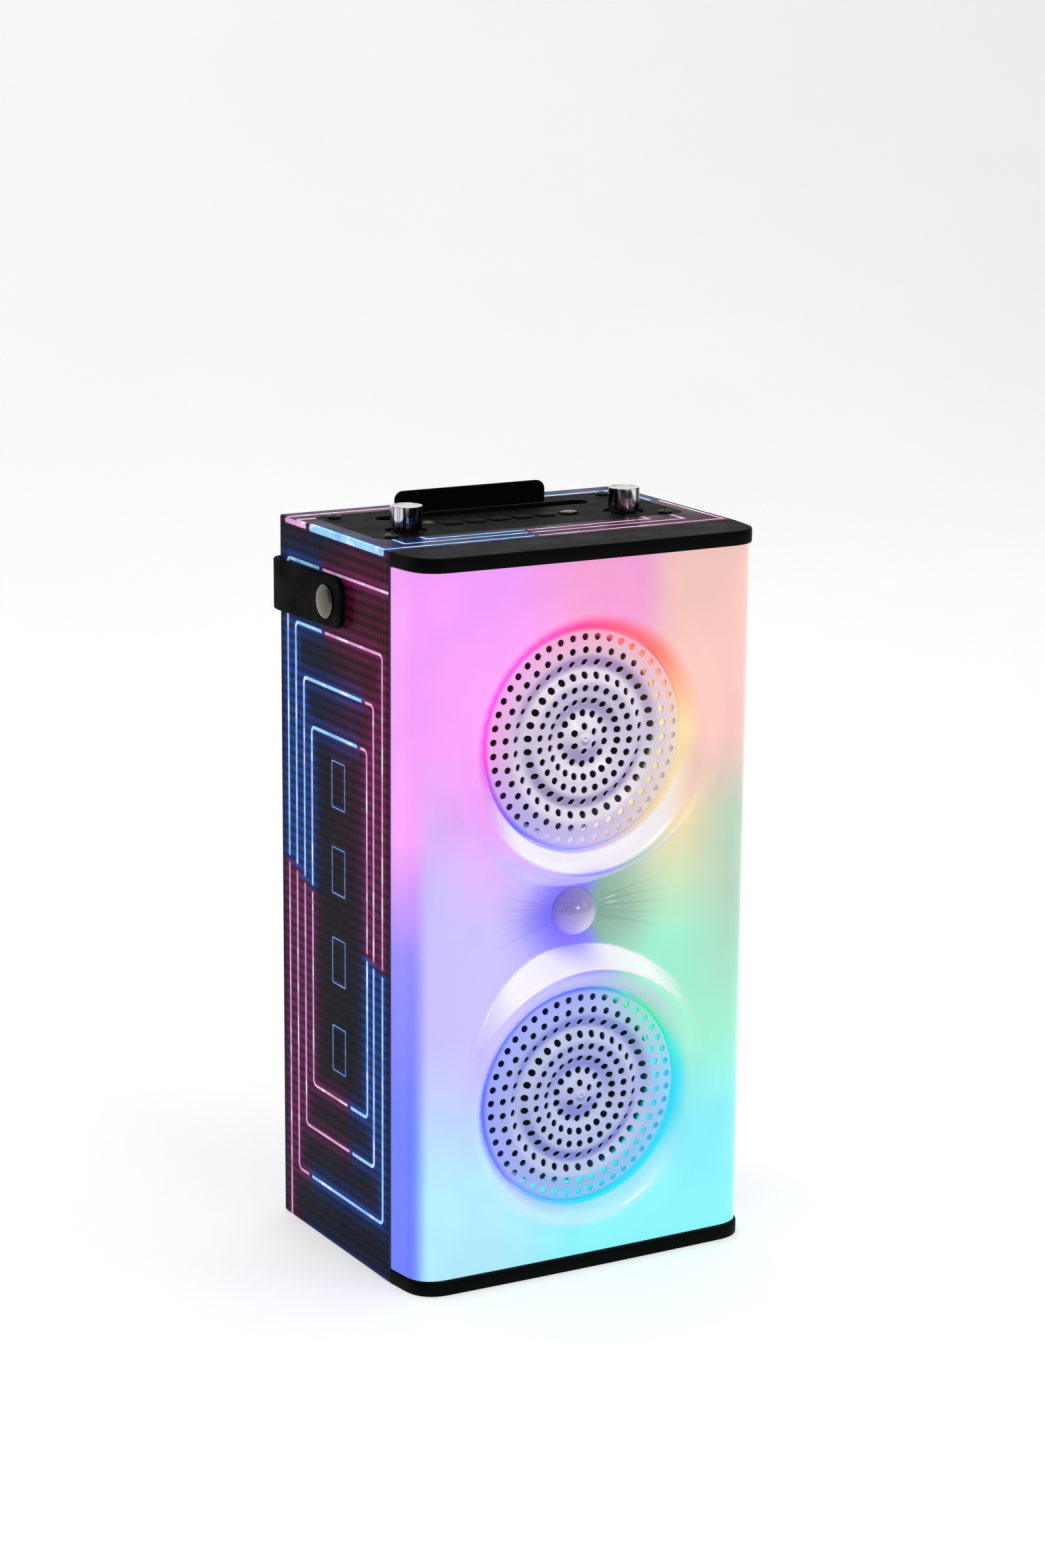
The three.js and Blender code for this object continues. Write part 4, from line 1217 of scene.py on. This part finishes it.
def make_screw(number, middle):
    under = PANEL_TOP + 0.1
    profile = [(0.01, 357), (1.4, 357), (1.4, under), (3.4, under)]
    profile += fillet([(3.5, under + 0.1), (3.5, under + 0.8), (2.4, under + 1.5), (0.01, under + 1.7)], 0.5)
    vertices, faces = lathe(profile, "z", middle, 40)
    mesh = bpy.data.meshes.new("head")
    mesh.from_pydata([place(*v) for v in vertices], [], faces)
    tidy = bmesh.new()
    tidy.from_mesh(mesh)
    bmesh.ops.remove_doubles(tidy, verts=tidy.verts, dist=2e-5)
    bmesh.ops.holes_fill(tidy, edges=tidy.edges)
    bmesh.ops.recalc_face_normals(tidy, faces=tidy.faces)
    tidy.to_mesh(mesh)
    tidy.free()
    x, y = middle
    turn = 0.4 + number
    bars = []
    for extra in (0, math.pi / 2):
        u = Vector((math.cos(turn + extra), math.sin(turn + extra)))
        v = Vector((-u.y, u.x))
        corners = [u * 2 + v * 0.4, u * -2 + v * 0.4, u * -2 - v * 0.4, u * 2 - v * 0.4]
        bars.append(prism([(x + c.x, y + c.y) for c in corners], under + 0.6, under + 3))
    made = cut(mesh, *bars)
    made.materials.append(M["black_steel"])
    add_piece(f"screw_{number}", made, "speaker", [f"panel_screw_{number}"], "black_steel", 35)


for index, screw_place in enumerate(SCREWS):
    make_screw(index + 1, screw_place)


def make_knob(side, x):
    low, high = HEIGHT + 0.8, HEIGHT + 12
    profile = [(3.02, high - 2.5), (3.02, low)]
    profile += fillet([(7.0, low), (7.6, low), (7.6, low + 0.9)], 0.25)
    profile += [(7.6, low + 0.92), (7.9, low + 1.1), (7.9, low + 1.5), (7.9, high - 0.8)]
    crown = [(7.9, high - 0.7), (7.9, high), (6.9, high), (6.6, high - 0.3), (5.8, high - 0.36)]
    profile += fillet(crown, 0.5, 5)
    profile += [(5.4, high - 0.36), (0.01, high - 0.36), (0.01, high - 2.5), (3.02, high - 2.5)]
    make_piece("chrome_knob_" + side, *lathe(profile, "z", (x, KNOB_Y), 128), M["chrome"], "knob_" + side,
               ["knob_" + side], "chrome", 32)


make_knob("left", -KNOB_X)
make_knob("right", KNOB_X)


def make_button(number):
    middle = (button_x(number - 1), BUTTON_Y)
    top = PANEL_TOP + 1.05
    profile = [(3.6, top), (2.2, top - 0.03), (1.1, top - 0.14), (0.4, top - 0.4)]
    profile += [(0.08, top - 0.8), (0, top - 1.3)]
    profile += [(0, PANEL_UNDERSIDE - 0.3), (-0.8, PANEL_UNDERSIDE - 0.3), (-0.8, PANEL_UNDERSIDE - 1.6)]
    solid = plate((lambda grow: rounded_rect(middle, (5.05, 4.2), 3.0, grow, 8), profile), [])
    body = f"button_{number}"
    make_piece(f"key_{number}", *solid, M["black"], body, [body], "black_plastic", 40)
    if number == 6:
        def oval(grow):
            return [(middle[0] + (4.5 + grow) * math.cos(a), middle[1] + (3.6 + grow) * math.sin(a))
                    for a in (2 * math.pi * k / 56 for k in range(56))]

        lens = [(2.8, top + 0.3), (2.0, top + 0.24), (1.0, top + 0.12), (0.3, top - 0.06)]
        lens += [(0, top - 0.3), (0, top - 0.6)]
        make_piece("key_6_cap", *plate((oval, lens), []), M["satin"], body, (), "silver_cap", 40)


for index in range(1, 7):
    make_button(index)


def make_socket():
    top = PANEL_TOP + 0.3
    profile = fillet([(1.75, PANEL_UNDERSIDE), (1.75, top - 0.5), (2.3, top), (3.2, top), (3.6, top - 0.4),
                      (3.6, PANEL_UNDERSIDE)], 0.25)
    profile.append(profile[0])
    make_piece("socket_collar", *lathe(profile, "z", SOCKET, 64), M["satin"], stands_for=["audio_socket"],
               slot="satin_metal")
    depth = [(0.01, PANEL_TOP - 1.6), (1.7, PANEL_TOP - 1.6), (1.7, PANEL_TOP - 2.6), (0.01, PANEL_TOP - 2.6)]
    make_piece("socket_throat", *lathe(depth, "z", SOCKET, 32), M["panel"], slot="black_plastic")


make_socket()


# ---- strap handle ----
def bezier(points, count):
    made = []
    for k in range(count):
        t = k / count
        weights = ((1 - t) ** 3, 3 * t * (1 - t) ** 2, 3 * t * t * (1 - t), t ** 3)
        made.append(tuple(sum(w * p[axis] for w, p in zip(weights, points)) for axis in (0, 1)))
    return made


def strap_path():
    x = WIDTH / 2 + STRAP_STANDOFF + STRAP_THICKNESS / 2
    half = [(-x, STRAP_END_Y + 1.2 * k) for k in range(57)]
    half += bezier([(-x, 110), (-x, 119.8), (-97.3, 122.2), (-87.5, 123.9)], 24)
    half += bezier([(-87.5, 123.9), (-54.5, 139), (-28, 140), (0, 140)], 60)
    return half + [(0, 140)] + [(-px, py) for px, py in reversed(half)]


def strap_section(half_width, half_thick, edge_radius):
    """Closed section of the strap: (across, out) points, flat on both faces with rounded edges."""
    steps, across = 4, 10
    points = []
    for quarter, (sw, st) in enumerate(((1, 1), (-1, 1), (-1, -1), (1, -1))):
        for k in range(steps + 1):
            angle = math.pi / 2 * (quarter + k / steps)
            w = sw * (half_width - edge_radius) + edge_radius * math.cos(angle)
            t = st * (half_thick - edge_radius) + edge_radius * math.sin(angle)
            points.append((w, t))
        if quarter in (0, 2):
            for k in range(1, across):
                w = sw * (half_width - edge_radius) * (1 - 2 * k / across)
                points.append((w, st * half_thick))
    return points


def make_strap():
    path = strap_path()
    travelled = [0.0]
    for a, b in zip(path, path[1:]):
        travelled.append(travelled[-1] + math.dist(a, b))
    total = travelled[-1]
    vertices, faces = [], []
    count = 0
    for i, (x, y) in enumerate(path):
        before, after = path[max(i - 1, 0)], path[min(i + 1, len(path) - 1)]
        tangent = Vector((after[0] - before[0], after[1] - before[1])).normalized()
        outward = Vector((-tangent.y, tangent.x))
        from_end = min(travelled[i], total - travelled[i])
        corner = max(STRAP_END_CORNER - from_end, 0)
        half_width = STRAP_HALF_WIDTH - STRAP_END_CORNER
        half_width += math.sqrt(STRAP_END_CORNER ** 2 - min(corner, 8.9) ** 2)
        half_thick = STRAP_THICKNESS / 2 - 0.7 * max(0, 1 - from_end / 1.6)
        tilt = 0.9 - 0.024 * (min(y, 120) - STRAP_END_Y) - 0.05 * max(y - 120, 0)
        section = strap_section(half_width, half_thick, min(0.95, half_thick - 0.05))
        count = len(section)
        for w, t in section:
            vertices.append((x + outward.x * t, y + outward.y * t, STRAP_Z + tilt + w))
        if i:
            p, q = (i - 1) * count, i * count
            faces += [(p + k, p + (k + 1) % count, q + (k + 1) % count, q + k) for k in range(count)]
    faces.append(tuple(range(count)))
    faces.append(tuple(range(len(vertices) - count, len(vertices))))
    make_piece("strap_handle", vertices, faces, M["strap"], "strap", ["handle_strap"], "strap", 50)


make_strap()


def make_rivet(name, side):
    face = WIDTH / 2 + STRAP_STANDOFF + STRAP_THICKNESS + 0.2
    profile = [(0.01, WIDTH / 2 - 7.5), (2.5, WIDTH / 2 - 7.5), (2.5, face), (8.1, face)]
    head = [(8.4, face + 0.1), (8.4, face + 0.5), (7.4, face + 1.3)]
    head += [(5.2, face + 2.0), (2.6, face + 2.4), (0.01, face + 2.5)]
    profile += fillet(head, 0.8)
    turned = [(r, side * h) for r, h in profile]
    make_piece("rivet_" + name, *lathe(turned, "x", (RIVET_Y, STRAP_Z), 72), M["satin"],
               stands_for=["strap_rivet_" + name], slot="satin_metal")


make_rivet("left", -1)
make_rivet("right", 1)


# ---- finishes of the CAD nodes that stay ----
KEPT = {
    "baffle_board": "baffle", "light_board": "circuit", "dome_lamp": "circuit", "slot_tray": "panel",
    "key_board": "circuit", "main_board": "circuit", "battery_pack": "cells", "charge_port": "panel",
}
for end in COVER_Z:
    KEPT.update({"driver_cone_" + end: "paper", "driver_magnet_" + end: "magnet"})
    KEPT["driver_basket_" + end] = "basket_" + end
for end in ("left", "right"):
    KEPT["lock_nut_" + end] = "black_steel"
    for part in ("knob_shaft_", "potentiometer_", "strap_spacer_", "rivet_washer_"):
        KEPT[part + end] = "steel"
for node, finish in KEPT.items():
    nodes[node].data.materials.clear()
    nodes[node].data.materials.append(M[finish])


# ---- studio ----
def make_studio():
    s = Shade("studio_paper", Roughness=0.9)
    paper = s.mix(s.noise(0.004, 3.0), srgb(243, 243, 243), srgb(248, 248, 248))
    s.drive("Base Color", paper)
    s.drive("Emission Color", paper)
    s.drive("Emission Strength", 0.5)
    vertices, faces = [], []
    profile = [(-4.0, 0.0), (1.2, 0.0)]
    for k in range(1, 11):
        angle = math.radians(9 * k)
        profile.append((1.2 + 1.2 * math.sin(angle), 1.2 - 1.2 * math.cos(angle)))
    profile.append((2.4, 5.0))
    for y, z in profile:
        vertices += [(-5, y, z), (5, y, z)]
    for k in range(len(profile) - 1):
        faces.append((2 * k, 2 * k + 1, 2 * k + 3, 2 * k + 2))
    mesh = bpy.data.meshes.new("backdrop")
    mesh.from_pydata(vertices, [], faces)
    mesh.shade_smooth()
    mesh.materials.append(s.material)
    put("backdrop", mesh)

    world = bpy.data.worlds.new("world")
    world.use_nodes = True
    world.node_tree.nodes["Background"].inputs["Color"].default_value = (1, 1, 1, 1)
    world.node_tree.nodes["Background"].inputs["Strength"].default_value = 0.14
    bpy.context.scene.world = world
    lamps = [
        ("top_softbox", (0.1, -0.1, 2.2), 2.2, 2.2, 17),
        ("left_softbox", (-1.9, -0.9, 1.3), 1.2, 1.6, 1),
        ("right_softbox", (1.7, -1.5, 1.5), 1.2, 1.6, 6),
        ("front_lamp", (0.15, -1.73, 0.89), 0.45, 0.24, 4),
    ]
    target = Vector((0, 0, 0.2))
    for name, where, width, height, power in lamps:
        data = bpy.data.lights.new(name, "AREA")
        data.shape = "RECTANGLE"
        data.size, data.size_y = width, height
        data.energy = power
        lamp = put(name, data)
        lamp.location = where
        lamp.rotation_mode = "QUATERNION"
        lamp.rotation_quaternion = (target - Vector(where)).to_track_quat("-Z", "Y")


make_studio()
